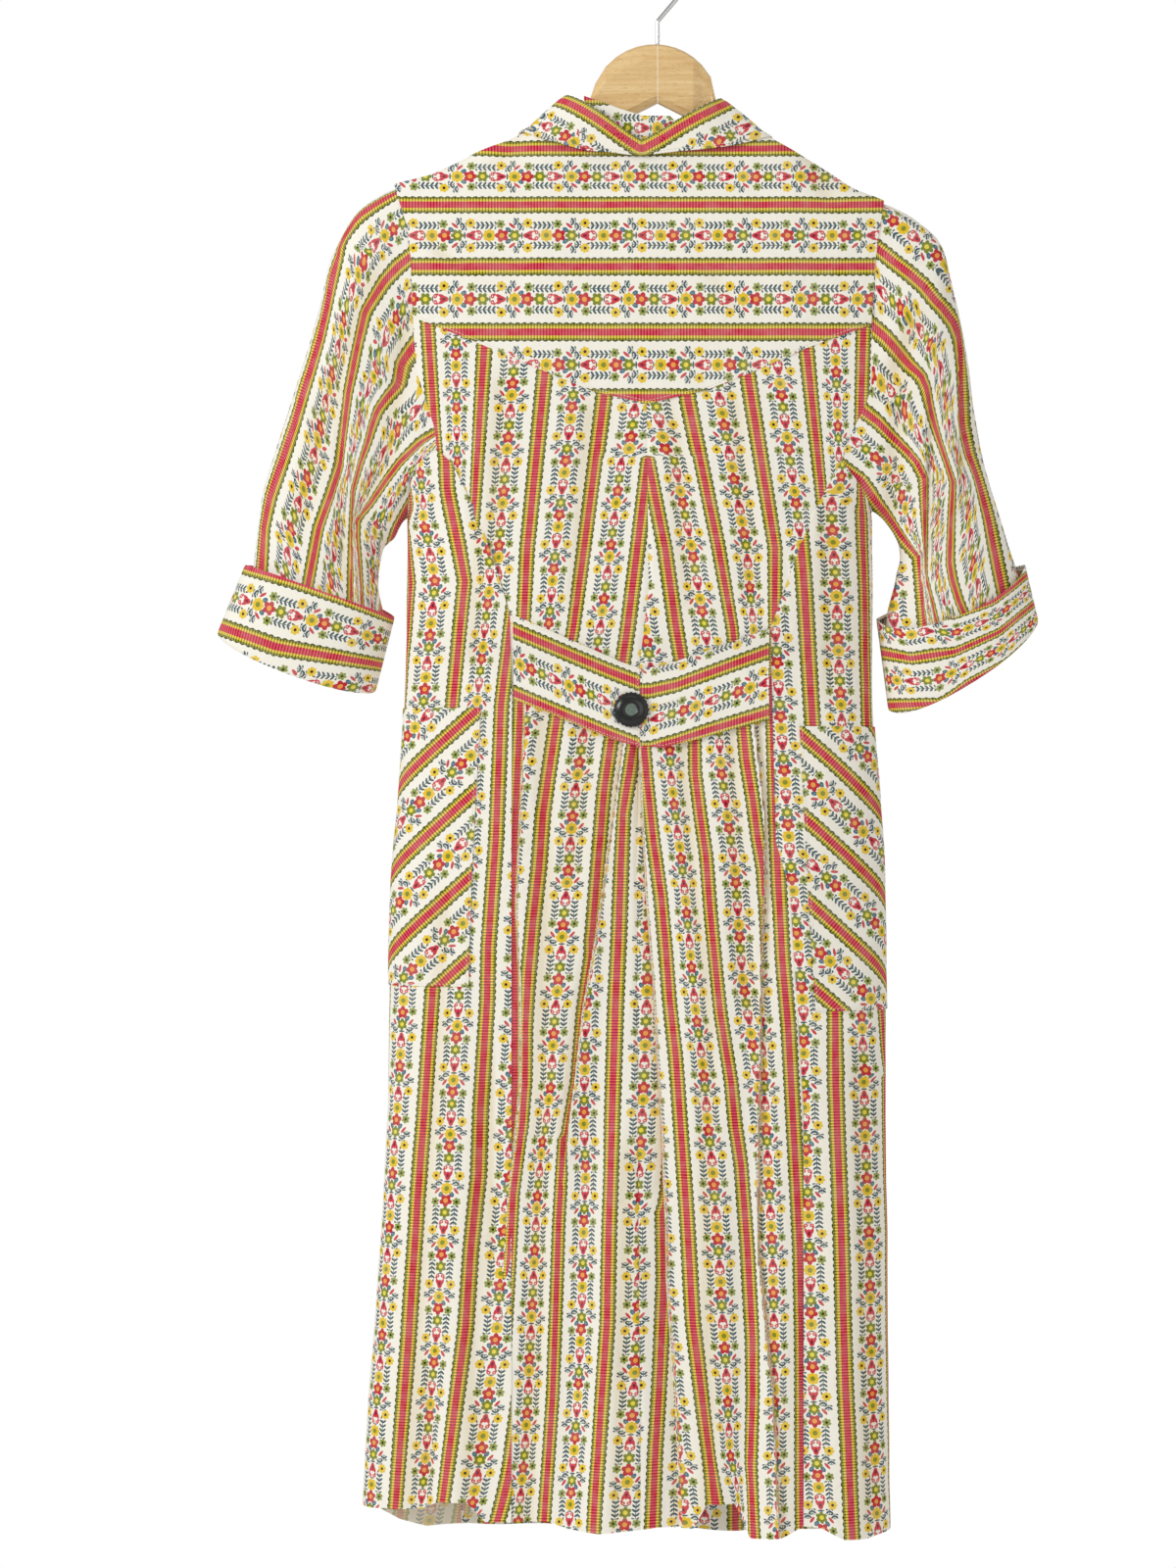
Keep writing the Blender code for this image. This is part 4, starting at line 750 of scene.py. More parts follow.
def side_grid(side, columns, rows):
    """x, drop and face of a side panel from the back princess line round to the front one."""
    if side < 0:
        top = list(ARMHOLE_LEFT[LEFT_CORNER:]) + [FRONT_ARMHOLE_LEFT[4], FRONT_PRINCESS_LEFT[0]]
        back, front, patch = PRINCESS_LEFT, FRONT_PRINCESS_LEFT, POCKET_LEFT
    else:
        top = list(ARMHOLE_RIGHT[RIGHT_CORNER:]) + [FRONT_ARMHOLE_RIGHT[4], FRONT_PRINCESS_RIGHT[0]]
        back, front, patch = PRINCESS_RIGHT, FRONT_PRINCESS_RIGHT, POCKET_RIGHT
    under = len(top) - 3
    place = np.linspace(0.0, SIDE_LAST, columns)

    def angles(level):
        back_x = along_drop(back, level)
        front_x = along_drop(front, level)
        first = angle_of(back_x, level, side, -1)
        second = angle_of(back_x + side * LAP, level, side, -1)
        third = np.maximum(angle_of(interp(patch, level), level, side, -1), second + 0.04)
        last = angle_of(front_x, level, side, 1)
        before = angle_of(front_x + side * LAP, level, side, 1)
        low = first + (second - first) * place
        mid = second + (third - second) * (place - 1.0)
        long = third + (before - third) * (place - 2.0) / (SIDE_LAST - 3.0)
        end = before + (last - before) * (place - SIDE_LAST + 1.0)
        outer = np.where(place < SIDE_LAST - 1.0, long, end)
        return np.where(place < 1.0, low, np.where(place < 2.0, mid, outer))

    back_x, back_drop = along(top[:under + 1], np.clip(place / SIDE_TURN, 0.0, 1.0))
    fore_x, fore_drop = along(top[under:], np.clip((place - SIDE_TURN) / (SIDE_LAST - SIDE_TURN), 0.0, 1.0))
    behind = place <= SIDE_TURN
    top_x = np.where(behind, back_x, fore_x)
    top_drop = np.where(behind, back_drop, fore_drop)
    start_angle = angle_of(top_x, top_drop, side, np.where(behind, -1, 1))
    start_angle = np.where(np.abs(place - SIDE_TURN) < 0.05, math.pi / 2, start_angle)
    offset = start_angle - angles(top_drop)
    fall = np.linspace(0.0, 1.0, rows[0])[:-1, None]
    level_top = top_drop[None, :] + (SIDE_EVEN - top_drop[None, :]) * fall
    long = np.linspace(SIDE_EVEN, LOW_LEVEL, rows[1])[:-1, None] + 0.0 * place[None, :]
    foot = np.linspace(0.0, 1.0, rows[2])[:, None]
    wrap = np.clip((place - 5.0) / 5.0, 0.0, 1.0)
    guess = np.full(columns, MIDDLE + side * 180.0)
    for _ in range(8):
        hem = interp(BACK_HEM, guess) * (1.0 - wrap) + interp(FRONT_HEM, guess) * wrap
        guess = round_body(angles(hem), hem, side)
    level_foot = LOW_LEVEL + (hem[None, :] - LOW_LEVEL) * foot
    level = np.concatenate([level_top, long, level_foot])
    angle = np.array([angles(line) for line in level])
    fade = np.concatenate([1.0 - fall, np.zeros((rows[1] - 1 + rows[2], 1))])
    angle = angle + offset[None, :] * fade
    x = round_body(angle, level, side)
    face = np.where(angle < math.pi / 2, -1.0, 1.0)
    return x, level, face, place


def side_skin(x, drop, face):
    """Points of a grid that goes round the body's side."""
    y = np.where(face < 0.0, body_y(x, drop, -1), body_y(x, drop, 1))
    return np.stack([x, y, -drop], axis=-1)


def ellipse_ring(x_out, drop_out, x_in, drop_in, depth, count, near_sag=0.0, far_sag=0.0, grow=0.0):
    """A ring from its outer point over the back (near, -Y) to its inner point and round the front."""
    turn = np.arange(count) * 2.0 * math.pi / count
    axis = np.array([x_out - x_in, 0.0, -(drop_out - drop_in)])
    length = np.linalg.norm(axis)
    axis = axis / length
    middle = np.array([(x_out + x_in) / 2, 0.0, -(drop_out + drop_in) / 2])
    cosine = np.cos(turn)
    sine = np.sin(turn)
    flat = np.sign(cosine) * np.abs(cosine) ** 0.9
    bulge = np.sign(sine) * np.abs(sine) ** 0.75
    ring = middle + np.outer(flat * (length / 2 + grow), axis)
    ring = ring + np.outer(-bulge * (depth + grow), [0.0, 1.0, 0.0])
    sag = np.where(sine > 0.0, near_sag, far_sag) * np.abs(sine) ** 1.2
    ring[:, 2] -= sag
    return ring


def cuff_ring(side, part, grow, count):
    """A ring of the cuff: part 0 at the fold, 1 at the upper edge."""
    top = CUFF_TOP_LEFT if side < 0 else CUFF_TOP_RIGHT
    fold = CUFF_FOLD_LEFT if side < 0 else CUFF_FOLD_RIGHT
    row = [low + (high - low) * part for low, high in zip(fold, top)]
    return ellipse_ring(row[0], row[1], row[2], row[3], row[4], count, row[5], row[6], grow)


def armhole_ring(side, count):
    """The sleeve's first ring, tucked just under the armhole's edge, back and front."""
    back = np.array(ARMHOLE_LEFT if side < 0 else ARMHOLE_RIGHT, dtype=float)
    fore = np.array(FRONT_ARMHOLE_LEFT if side < 0 else FRONT_ARMHOLE_RIGHT, dtype=float)
    half = count // 2
    ring = np.zeros((count, 3))
    for index in range(count):
        behind = index <= half
        points, face = (back, -1) if behind else (fore, 1)
        px, pd = along(points, (index if behind else count - index) / half)
        y = 0.0 if index in (0, half) else float(body_y(np.array(px), np.array(pd), face))
        ring[index] = (px - side * 1.5, y * 0.985, -pd)
    return ring


def smooth_rows(rings, count):
    """Even rows on a smooth curve through rings of points."""
    rings = np.asarray(rings)
    last = len(rings) - 1
    slope = np.gradient(rings, axis=0)
    place = np.linspace(0.0, last, count)
    cell = np.minimum(place.astype(int), last - 1)
    t = (place - cell)[:, None, None]
    p0, p1, m0, m1 = rings[cell], rings[cell + 1], slope[cell], slope[cell + 1]
    return ((2 * t ** 3 - 3 * t ** 2 + 1) * p0 + (t ** 3 - 2 * t ** 2 + t) * m0
            + (3 * t ** 2 - 2 * t ** 3) * p1 + (t ** 3 - t ** 2) * m1)


def from_seam(rings):
    """Columns rolled to start and end on the seam under the arm: round the near half first."""
    half = rings.shape[1] // 2
    rolled = np.roll(rings[:, ::-1], half + 1, axis=1)
    return np.concatenate([rolled, rolled[:, :1]], axis=1)


# Columns: up_mm, inside
SLEEVE_END = ((61.0, -4.0), (38.0, -3.0), (15.0, -2.3))


def sleeve_rings(side, count):
    """Rings of a sleeve from the armhole, where they settle into the body's edge, to inside the cuff."""
    table = SLEEVE_LEFT if side < 0 else SLEEVE_RIGHT
    first = armhole_ring(side, count)
    rings = []
    for index, (x_out, drop_out, x_in, drop_in, depth) in enumerate(table):
        ring = ellipse_ring(x_out, drop_out, x_in, drop_in, depth, count)
        if index == 0:
            shift = first - ring
        weight = SETTLE[index] if index < len(SETTLE) else 0.0
        rings.append(ring + shift * weight)
    for up, inside in SLEEVE_END:
        rings.append(cuff_ring(side, up / CUFF_DEPTH, inside, count))
    return np.array(rings)


def collar_grid(side, steps, columns):
    """Points of half the collar, from the middle back round to its point at the front."""
    table = np.array(COLLAR_LEFT if side < 0 else COLLAR_RIGHT, dtype=float)
    rings = smooth_rows(table[:, None, :], steps)[:, 0, :]
    roll = rings[:, [0, 2, 1]] * (1.0, 1.0, -1.0)
    edge = rings[:, [3, 5, 4]] * (1.0, 1.0, -1.0)
    part = np.linspace(0.0, 1.0, columns)[None, :, None]
    grid = roll[:, None, :] + (edge - roll)[:, None, :] * part
    return grid, roll


def clear_of_body(grid, least):
    """Move points outwards until they are at least a given distance from the body's skin."""
    for _ in range(3):
        x, y, drop = grid[..., 0], grid[..., 1], -grid[..., 2]

        def value(px, py, pd):
            across = np.abs(px - MIDDLE) / half_width(px, pd)
            return across ** ROUND + (np.abs(py) / half_depth(pd)) ** ROUND

        step = 0.5
        nx = (value(x + step, y, drop) - value(x - step, y, drop)) / (2 * step)
        ny = (value(x, y + step, drop) - value(x, y - step, drop)) / (2 * step)
        nd = (value(x, y, drop + step) - value(x, y, drop - step)) / (2 * step)
        size = np.sqrt(nx * nx + ny * ny + nd * nd) + 1e-6
        away = (value(x, y, drop) - 1.0) / size
        push = np.where(drop < 112.0, 0.0, np.clip(least - away, 0.0, 4.0))
        grid = grid + np.stack([nx, ny, -nd], axis=-1) / size[..., None] * push[..., None]
    return grid


# ---------------------------------------------------------------- materials

def linear(code):
    """A colour written as sRGB hex, as the linear values that a shader takes."""
    parts = [int(code[index:index + 2], 16) / 255.0 for index in (1, 3, 5)]
    parts = [part / 12.92 if part <= 0.04045 else ((part + 0.055) / 1.055) ** 2.4 for part in parts]
    return tuple(parts) + (1.0,)


def add(tree, kind, settings=None, **links):
    """Add a shader node with its settings; each link is a value or another node's output socket."""
    made = tree.nodes.new("ShaderNode" + kind)
    for name, value in (settings or {}).items():
        setattr(made, name, value)
    for key, value in links.items():
        socket = made.inputs[int(key[1:])] if key[1:].isdigit() else made.inputs[key.replace("_", " ")]
        if isinstance(value, bpy.types.NodeSocket):
            tree.links.new(value, socket)
        else:
            socket.default_value = value
    return made


def new_material(name):
    """An empty material and its node tree."""
    made = bpy.data.materials.new(name)
    made.use_nodes = True
    made.node_tree.nodes.clear()
    return made, made.node_tree


def plain_material(name, code, roughness):
    """A material of one colour and one roughness."""
    made, tree = new_material(name)
    shader = add(tree, "BsdfPrincipled", Base_Color=linear(code), Roughness=roughness)
    add(tree, "OutputMaterial", Surface=shader.outputs[0])
    return made


# The print, in millimetres of one repeat: a ribbon every 50 across, flowers between, 45 along
CELL_ACROSS = 50.0
CELL_ALONG = 45.0
RIBBON_RED = 2.7
RIBBON_YELLOW = 4.7
RIBBON_OLIVE = 6.3
RIBBON_EDGE = 7.0
RIB_PITCH = 2.4
PICOT_PITCH = 5.5
# Every second band of flowers is turned end for end, with its yellow and green flowers changed over:
# along gives a motif's place in one band, along_turned in the other. Leaves and small strokes are
# drawn a little wide, as they spread in printing.
# Columns: what, mirrored, across, along, along_turned, wide, long, turn, petals, notch, colour, heart,
# heart_colour
MOTIFS = (
    ("stroke", False, 0.0, 39.2, 39.2, 2.7, 0.75, 0.0, 0, 0.0, "#4A6472", 0.0, ""),
    ("small stroke", False, 0.0, 25.6, 25.6, 2.3, 0.55, 0.0, 0, 0.0, "#6C6472", 0.0, ""),
    ("teardrop", True, 4.6, 4.9, 4.9, 1.75, 2.5, -38.0, 0, 0.0, "#3F6A85", 0.45, "#6F93A4"),
    ("comma", True, 8.0, 2.0, 2.0, 1.15, 3.2, -40.0, 0, 0.0, "#D24753", 0.0, ""),
    ("brown leaf", True, 6.7, 32.4, 32.4, 0.7, 1.9, -24.0, 0, 0.0, "#4A2F30", 0.0, ""),
    ("yellow flower", False, 0.0, 0.0, 19.9, 5.3, 5.3, 0.0, 8, 0.22, "#EFCB2E", 0.38, "#8A932A"),
    ("red flower", False, 0.0, 10.0, 10.0, 5.5, 5.5, 90.0, 5, 0.34, "#C72B3A", 0.36, "#F6A94C"),
    ("green flower", False, 0.0, 19.9, 0.0, 5.1, 5.1, 30.0, 6, 0.34, "#7F8B22", 0.36, "#F3E24A"),
    ("curl", True, 2.3, 27.6, 27.6, 1.7, 1.5, 0.0, 0, 0.0, "#D6485A", 0.36, "#F6DCD2"),
    ("curl end", True, 3.5, 29.2, 29.2, 0.9, 1.2, 20.0, 0, 0.0, "#D94A5C", 0.0, ""),
    ("tulip side", True, 2.2, 32.9, 32.9, 1.3, 2.8, 24.0, 0, 0.0, "#D23A50", 0.0, ""),
    ("tulip", False, 0.0, 34.6, 34.6, 2.3, 3.6, 0.0, 0, 0.0, "#D8344C", 0.46, "#7A0F2C"),
    ("small green flower", True, 9.2, 11.0, 11.0, 3.7, 3.7, 20.0, 6, 0.34, "#93A14A", 0.3, "#20200E"),
    ("small yellow flower", True, 10.1, 34.5, 34.5, 4.0, 4.0, 10.0, 7, 0.26, "#F0CE38", 0.3, "#2E140E"),
)
# Leafy sprigs: the part along that each fills, how far out its stem lies and the pitch of its leaves
# Columns: start, end, stem, pitch
SPRIGS = ((14.4, 30.0, 8.1, 3.6), (37.6, 42.6, 7.2, 2.8), (41.6, 46.0, 11.2, 2.6))
LEAF_COLOUR = "#3F5C68"
GROUND = "#FDFCF4"


def calc(tree, how, first, second=0.0, third=0.0):
    """One sum on values or sockets."""
    return add(tree, "Math", {"operation": how}, _0=first, _1=second, _2=third).outputs[0]


def paint(tree, under, share, colour):
    """A colour laid over another by a share."""
    tint = linear(colour) if isinstance(colour, str) else colour
    made = add(tree, "Mix", {"data_type": "RGBA"}, _0=share, _6=under, _7=tint)
    return made.outputs[2]


def printed_colour(tree):
    """The printed stripes and flowers, worked out from the print's own chart of repeats."""
    chart = add(tree, "UVMap", {"uv_map": "print"}).outputs[0]
    split = add(tree, "SeparateXYZ", _0=chart)
    count, length = split.outputs[0], split.outputs[1]
    band = calc(tree, "FLOOR", count)
    turned = calc(tree, "FLOORED_MODULO", band, 2.0)
    across = calc(tree, "MULTIPLY_ADD", calc(tree, "SUBTRACT", count, band), CELL_ACROSS, -CELL_ACROSS / 2)
    aside = calc(tree, "ABSOLUTE", across)
    facing = calc(tree, "MULTIPLY_ADD", turned, -2.0, 1.0)
    along = calc(tree, "MULTIPLY", calc(tree, "MULTIPLY", length, facing), CELL_ALONG)
    half = CELL_ALONG / 2
    colour = linear(GROUND)
    # leafy sprigs: one leaf, repeated along its stem on both sides
    for start, end, stem, pitch in SPRIGS:
        within = calc(tree, "WRAP", along, start + CELL_ALONG, start)
        inside = calc(tree, "LESS_THAN", within, end)
        step = calc(tree, "WRAP", calc(tree, "SUBTRACT", within, start), pitch / 2, -pitch / 2)
        off = calc(tree, "ABSOLUTE", calc(tree, "SUBTRACT", aside, stem))
        place = add(tree, "CombineXYZ", _0=off, _1=step)
        leaf = add(tree, "Mapping", {"vector_type": "TEXTURE"}, Vector=place.outputs[0], Location=(1.55, 0.0, 0.0),
                   Rotation=(0.0, 0.0, math.radians(40.0)), Scale=(2.0, 0.84, 1.0))
        size = add(tree, "VectorMath", {"operation": "LENGTH"}, _0=leaf.outputs[0]).outputs["Value"]
        shape = calc(tree, "LESS_THAN", size, 1.0)
        twig = calc(tree, "LESS_THAN", off, 0.3)
        shown = calc(tree, "MULTIPLY", calc(tree, "MAXIMUM", shape, twig), inside)
        colour = paint(tree, colour, shown, LEAF_COLOUR)
    for row in MOTIFS:
        (_, mirrored, out, place_along, place_turned, wide, long, turn, petals, notch, tint, heart,
         heart_tint) = row
        middle = place_along
        if place_turned != place_along:
            middle = calc(tree, "MULTIPLY_ADD", turned, place_turned - place_along, place_along)
        step = calc(tree, "WRAP", calc(tree, "SUBTRACT", along, middle), half, -half)
        place = add(tree, "CombineXYZ", _0=aside if mirrored else across, _1=step)
        own = add(tree, "Mapping", {"vector_type": "TEXTURE"}, Vector=place.outputs[0], Location=(out, 0.0, 0.0),
                  Rotation=(0.0, 0.0, math.radians(turn)), Scale=(wide, long, 1.0)).outputs[0]
        size = add(tree, "VectorMath", {"operation": "LENGTH"}, _0=own).outputs["Value"]
        edge = 1.0
        if petals:
            parts = add(tree, "SeparateXYZ", _0=own)
            angle = calc(tree, "ARCTAN2", parts.outputs[1], parts.outputs[0])
            wave = calc(tree, "ABSOLUTE", calc(tree, "COSINE", calc(tree, "MULTIPLY", angle, petals / 2)))
            edge = calc(tree, "MULTIPLY_ADD", wave, notch, 1.0 - notch)
        colour = paint(tree, colour, calc(tree, "LESS_THAN", size, edge), tint)
        if heart:
            colour = paint(tree, colour, calc(tree, "LESS_THAN", size, heart), heart_tint)
    # ribbon: a ribbed red middle, yellow and olive sides, a dark picot edge
    ribbon = calc(tree, "SUBTRACT", CELL_ACROSS / 2, aside)
    straight = calc(tree, "MULTIPLY", length, CELL_ALONG)
    ribs = calc(tree, "SINE", calc(tree, "MULTIPLY", straight, 2 * math.pi / RIB_PITCH))
    rib = add(tree, "Clamp", _0=calc(tree, "MULTIPLY_ADD", ribs, 0.9, 0.5)).outputs[0]
    picot = calc(tree, "SINE", calc(tree, "MULTIPLY", straight, 2 * math.pi / PICOT_PITCH))
    rim = calc(tree, "MULTIPLY_ADD", picot, 0.45, RIBBON_EDGE)
    olive = paint(tree, linear("#4C5A10"), rib, "#A9A534")
    yellow = paint(tree, linear("#B0931C"), rib, "#F7E45C")
    red = paint(tree, linear("#A81838"), rib, "#F0566C")
    colour = paint(tree, colour, calc(tree, "LESS_THAN", ribbon, rim), "#303C0C")
    colour = paint(tree, colour, calc(tree, "LESS_THAN", ribbon, RIBBON_OLIVE), olive)
    colour = paint(tree, colour, calc(tree, "LESS_THAN", ribbon, RIBBON_YELLOW), yellow)
    colour = paint(tree, colour, calc(tree, "LESS_THAN", ribbon, RIBBON_RED), red)
    return colour


def cotton(name, wrong=0.0):
    """Plain-woven dress cotton, screen printed: flat dyes on a creamy white ground, creased by wear."""
    made, tree = new_material(name)
    colour = printed_colour(tree)
    where = add(tree, "TexCoord").outputs["Object"]
    # ink thins a little from place to place, so the dyes aren't flat
    patches = add(tree, "TexNoise", Vector=where, Scale=90.0, Detail=3.0, Roughness=0.6)
    share = calc(tree, "MULTIPLY", calc(tree, "SUBTRACT", patches.outputs[0], 0.35), 0.35)
    colour = paint(tree, colour, add(tree, "Clamp", _0=share).outputs[0], "#FBF6E6")
    # painted shade: cloth in a crease is darkened towards cream by its depth in the fold, in place of the shadow
    # there
    fold = add(tree, "Attribute", {"attribute_name": "painted_fold_shade"}).outputs["Fac"]
    soft = add(tree, "Mix", {"data_type": "RGBA", "blend_type": "MULTIPLY"}, _0=calc(tree, "MULTIPLY", fold, 0.75),
               _6=colour, _7=linear("#E9D9B4")).outputs[2]
    if wrong:
        soft = paint(tree, soft, wrong, "#F3ECD8")
    # the weave: threads a third of a millimetre apart, drawn just over a millimetre apart so that they show
    threads = add(tree, "Mapping", {"vector_type": "POINT"}, Vector=where, Scale=(1650.0, 1650.0, 1650.0))
    warp = add(tree, "TexWave", {"bands_direction": "X"}, Vector=threads.outputs[0], Scale=0.16, Distortion=0.6)
    weft = add(tree, "TexWave", {"bands_direction": "Z"}, Vector=threads.outputs[0], Scale=0.16, Distortion=0.6)
    weave = calc(tree, "ADD", warp.outputs[1], weft.outputs[1])
    bump = add(tree, "Bump", Strength=0.12, Distance=0.0002, Height=weave)
    # creases left by wear and storage
    crumple = add(tree, "TexNoise", Vector=where, Scale=16.0, Detail=5.0, Roughness=0.55, Distortion=0.7)
    sharp = calc(tree, "ABSOLUTE", calc(tree, "SUBTRACT", crumple.outputs[0], 0.5))
    creases = add(tree, "Bump", Strength=0.5, Distance=0.006, Height=sharp, Normal=bump.outputs[0])
    shader = add(tree, "BsdfPrincipled", Base_Color=soft, Roughness=0.88, Normal=creases.outputs[0])
    shader.inputs["Specular IOR Level"].default_value = 0.22
    add(tree, "OutputMaterial", Surface=shader.outputs[0])
    return made


# ---------------------------------------------------------------- the pieces

# Lines of stitches that the pieces ask for: (piece, points, pitch)
SEWN = []
STITCH_PITCH = 2.9
STITCH_LONG = 2.1
THREAD_RADIUS = 0.24
STITCH_IN = 1.8
HOLE_HALF = 0.9
HOLE_PITCH = 0.9


def sew(piece, points, pitch=STITCH_PITCH):
    """Note a line of stitches on a piece."""
    SEWN.append((piece, np.asarray(points), pitch))


def inset(edge, inner, distance):
    """A line a distance in from a grid's edge, towards a row further in."""
    way = inner - edge
    return edge + way / (np.linalg.norm(way, axis=-1, keepdims=True) + 1e-9) * distance


def sewing_thread():
    """Mercerised cotton sewing thread, off-white, with a soft gleam; darker diagonal bands are painted shade
    between its two plies.
    """
    made, tree = new_material("mercerised cotton sewing thread")
    where = add(tree, "TexCoord").outputs["Object"]
    ply_groove_shade = add(tree, "TexWave", {"bands_direction": "DIAGONAL"}, Vector=where, Scale=900.0)
    # painted shade: darker bands stand in for the shadow in the grooves between the plies
    colour = paint(tree, linear("#F4EEDC"), calc(tree, "MULTIPLY", ply_groove_shade.outputs[1], 0.3), "#CFC6AA")
    shader = add(tree, "BsdfPrincipled", Base_Color=colour, Roughness=0.6)
    add(tree, "OutputMaterial", Surface=shader.outputs[0])
    return made


def stitch_tree(thread):
    """Geometry Nodes: one short thread at even steps along every line, turned to lie along it."""
    tree = bpy.data.node_groups.new("stitches", "GeometryNodeTree")
    face = tree.interface
    face.new_socket("Geometry", in_out="INPUT", socket_type="NodeSocketGeometry")
    for name in ("Pitch", "Stitch length", "Thread radius"):
        face.new_socket(name, in_out="INPUT", socket_type="NodeSocketFloat")
    face.new_socket("Geometry", in_out="OUTPUT", socket_type="NodeSocketGeometry")

    def node(kind, **settings):
        made = tree.nodes.new(kind)
        for key, value in settings.items():
            setattr(made, key, value)
        return made

    start, end = node("NodeGroupInput"), node("NodeGroupOutput")
    lines = node("GeometryNodeMeshToCurve")
    steps = node("GeometryNodeResampleCurve", mode="LENGTH")
    bead = node("GeometryNodeMeshUVSphere")
    bead.inputs["Segments"].default_value = 6
    bead.inputs["Rings"].default_value = 4
    bead.inputs["Radius"].default_value = 1.0
    size = node("ShaderNodeCombineXYZ")
    half = node("ShaderNodeMath", operation="MULTIPLY")
    half.inputs[1].default_value = 0.5
    place = node("GeometryNodeInstanceOnPoints")
    tangent = node("GeometryNodeInputTangent")
    turn = node("FunctionNodeAlignRotationToVector", axis="Z")
    real = node("GeometryNodeRealizeInstances")
    finish = node("GeometryNodeSetMaterial")
    finish.inputs["Material"].default_value = thread
    link = tree.links.new
    link(start.outputs["Geometry"], lines.inputs["Mesh"])
    link(lines.outputs["Curve"], steps.inputs["Curve"])
    link(start.outputs["Pitch"], steps.inputs["Length"])
    link(start.outputs["Stitch length"], half.inputs[0])
    link(start.outputs["Thread radius"], size.inputs["X"])
    link(start.outputs["Thread radius"], size.inputs["Y"])
    link(half.outputs[0], size.inputs["Z"])
    link(tangent.outputs[0], turn.inputs["Vector"])
    link(steps.outputs["Curve"], place.inputs["Points"])
    link(bead.outputs["Mesh"], place.inputs["Instance"])
    link(turn.outputs["Rotation"], place.inputs["Rotation"])
    link(size.outputs[0], place.inputs["Scale"])
    link(place.outputs["Instances"], real.inputs["Geometry"])
    link(real.outputs["Geometry"], finish.inputs["Geometry"])
    link(finish.outputs["Geometry"], end.inputs["Geometry"])
    return tree


def sew_all():
    """Turn the noted lines into threads, one object for each piece and pitch."""
    thread = sewing_thread()
    tree = stitch_tree(thread)
    sockets = {item.name: item.identifier for item in tree.interface.items_tree if item.in_out == "INPUT"}
    groups = {}
    for piece, points, pitch in SEWN:
        groups.setdefault((piece, pitch), []).append(points)
    for (piece, pitch), lines in groups.items():
        points, edges = [], []
        for line in lines:
            edges.extend((len(points) + index, len(points) + index + 1) for index in range(len(line) - 1))
            points.extend((line * MM).tolist())
        name = piece.replace("_cloth", "_stitches" if pitch == STITCH_PITCH else "_buttonhole")
        guide = bpy.data.meshes.new(name + " line")
        guide.from_pydata(points, edges, [])
        holder = placed(name + " line", guide)
        modifier = holder.modifiers.new("stitches", "NODES")
        modifier.node_group = tree
        modifier[sockets["Pitch"]] = pitch * MM
        modifier[sockets["Stitch length"]] = min(STITCH_LONG, pitch * 0.95) * MM
        modifier[sockets["Thread radius"]] = THREAD_RADIUS * MM
        sight = bpy.context.evaluated_depsgraph_get()
        mesh = bpy.data.meshes.new_from_object(holder.evaluated_get(sight))
        bpy.data.objects.remove(holder)
        mesh.name = name
        mesh.shade_smooth()
        item = placed(name, mesh)
        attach(item, "root")


PRINT = cotton("screen printed dress cotton")
WRONG = cotton("screen printed dress cotton, wrong side", 0.55)

# Middles of the ribbons seen in the photograph: stripe count, then (row, column) points downwards
LEFT_LINES = (
    (-2, ((300, 437), (325, 436), (435, 444), (520, 452))),
    (-1, ((300, 495), (353, 494), (559, 480), (900, 466))),
    (0, ((300, 560), (380, 556), (559, 538), (925, 522), (994, 525), (1131, 525), (1189, 515), (1247, 509),
         (1306, 506), (1360, 500), (1600, 492))),
    (1, ((300, 620), (406, 616), (559, 596), (640, 585), (736, 568), (775, 562), (830, 554), (885, 550),
        (939, 544),
         (994, 539), (1049, 536), (1104, 536), (1150, 533), (1218, 524), (1277, 521), (1379, 515),
         (1482, 511),
         (1552, 503), (1600, 499))),
    (2, ((466, 661), (559, 650), (640, 640), (745, 625), (802, 617), (898, 609), (953, 605))),
    (2, ((1159, 575), (1247, 570), (1306, 568), (1423, 564), (1552, 555), (1600, 552))),
    (3, ((690, 652), (750, 647), (788, 642), (830, 635), (953, 631), (1022, 628), (1150, 624), (1247, 621),
         (1350, 619), (1438, 613), (1540, 606), (1600, 603))),
)
RIGHT_LINES = (
    (0, ((1235, 677), (1247, 677), (1306, 678), (1394, 674), (1482, 669), (1552, 666), (1600, 664))),
    (1, ((690, 655), (756, 657), (802, 661), (857, 667), (912, 675), (967, 680), (1022, 684), (1076, 690),
         (1150, 695), (1247, 701), (1350, 707), (1438, 718), (1511, 728), (1535, 731), (1600, 735))),
    (2, ((466, 661), (559, 679), (640, 690), (750, 709), (788, 709), (830, 714), (871, 720), (926, 724),
        (967, 728),
         (1035, 735), (1104, 746), (1150, 750), (1189, 756), (1277, 763), (1365, 768), (1423, 768),
         (1497, 765),
         (1570, 769), (1600, 770))),
    (3, ((300, 690), (409, 702), (559, 733), (640, 748), (742, 758), (775, 761), (816, 768), (857, 773),
        (890, 779),
         (912, 780))),
    (4, ((300, 755), (383, 763), (559, 791), (736, 788), (830, 791), (885, 793), (980, 798), (1047, 804),
         (1124, 808), (1200, 812), (1277, 816), (1354, 818), (1600, 819))),
    (5, ((300, 820), (356, 823), (492, 838), (700, 858))),
    (6, ((300, 882), (333, 881), (426, 878), (520, 876))),
)
SIDE_LEFT_LINES = (
    (0, ((400, 452), (501, 457), (593, 475), (717, 463), (900, 450), (1009, 442), (1143, 433), (1220, 427),
         (1373, 417), (1541, 404), (1600, 400))),
    (1, ((560, 530), (720, 511), (857, 506), (967, 498), (1022, 497), (1131, 490), (1200, 488), (1277, 480),
         (1354, 475), (1430, 465), (1532, 452), (1600, 446))),
)
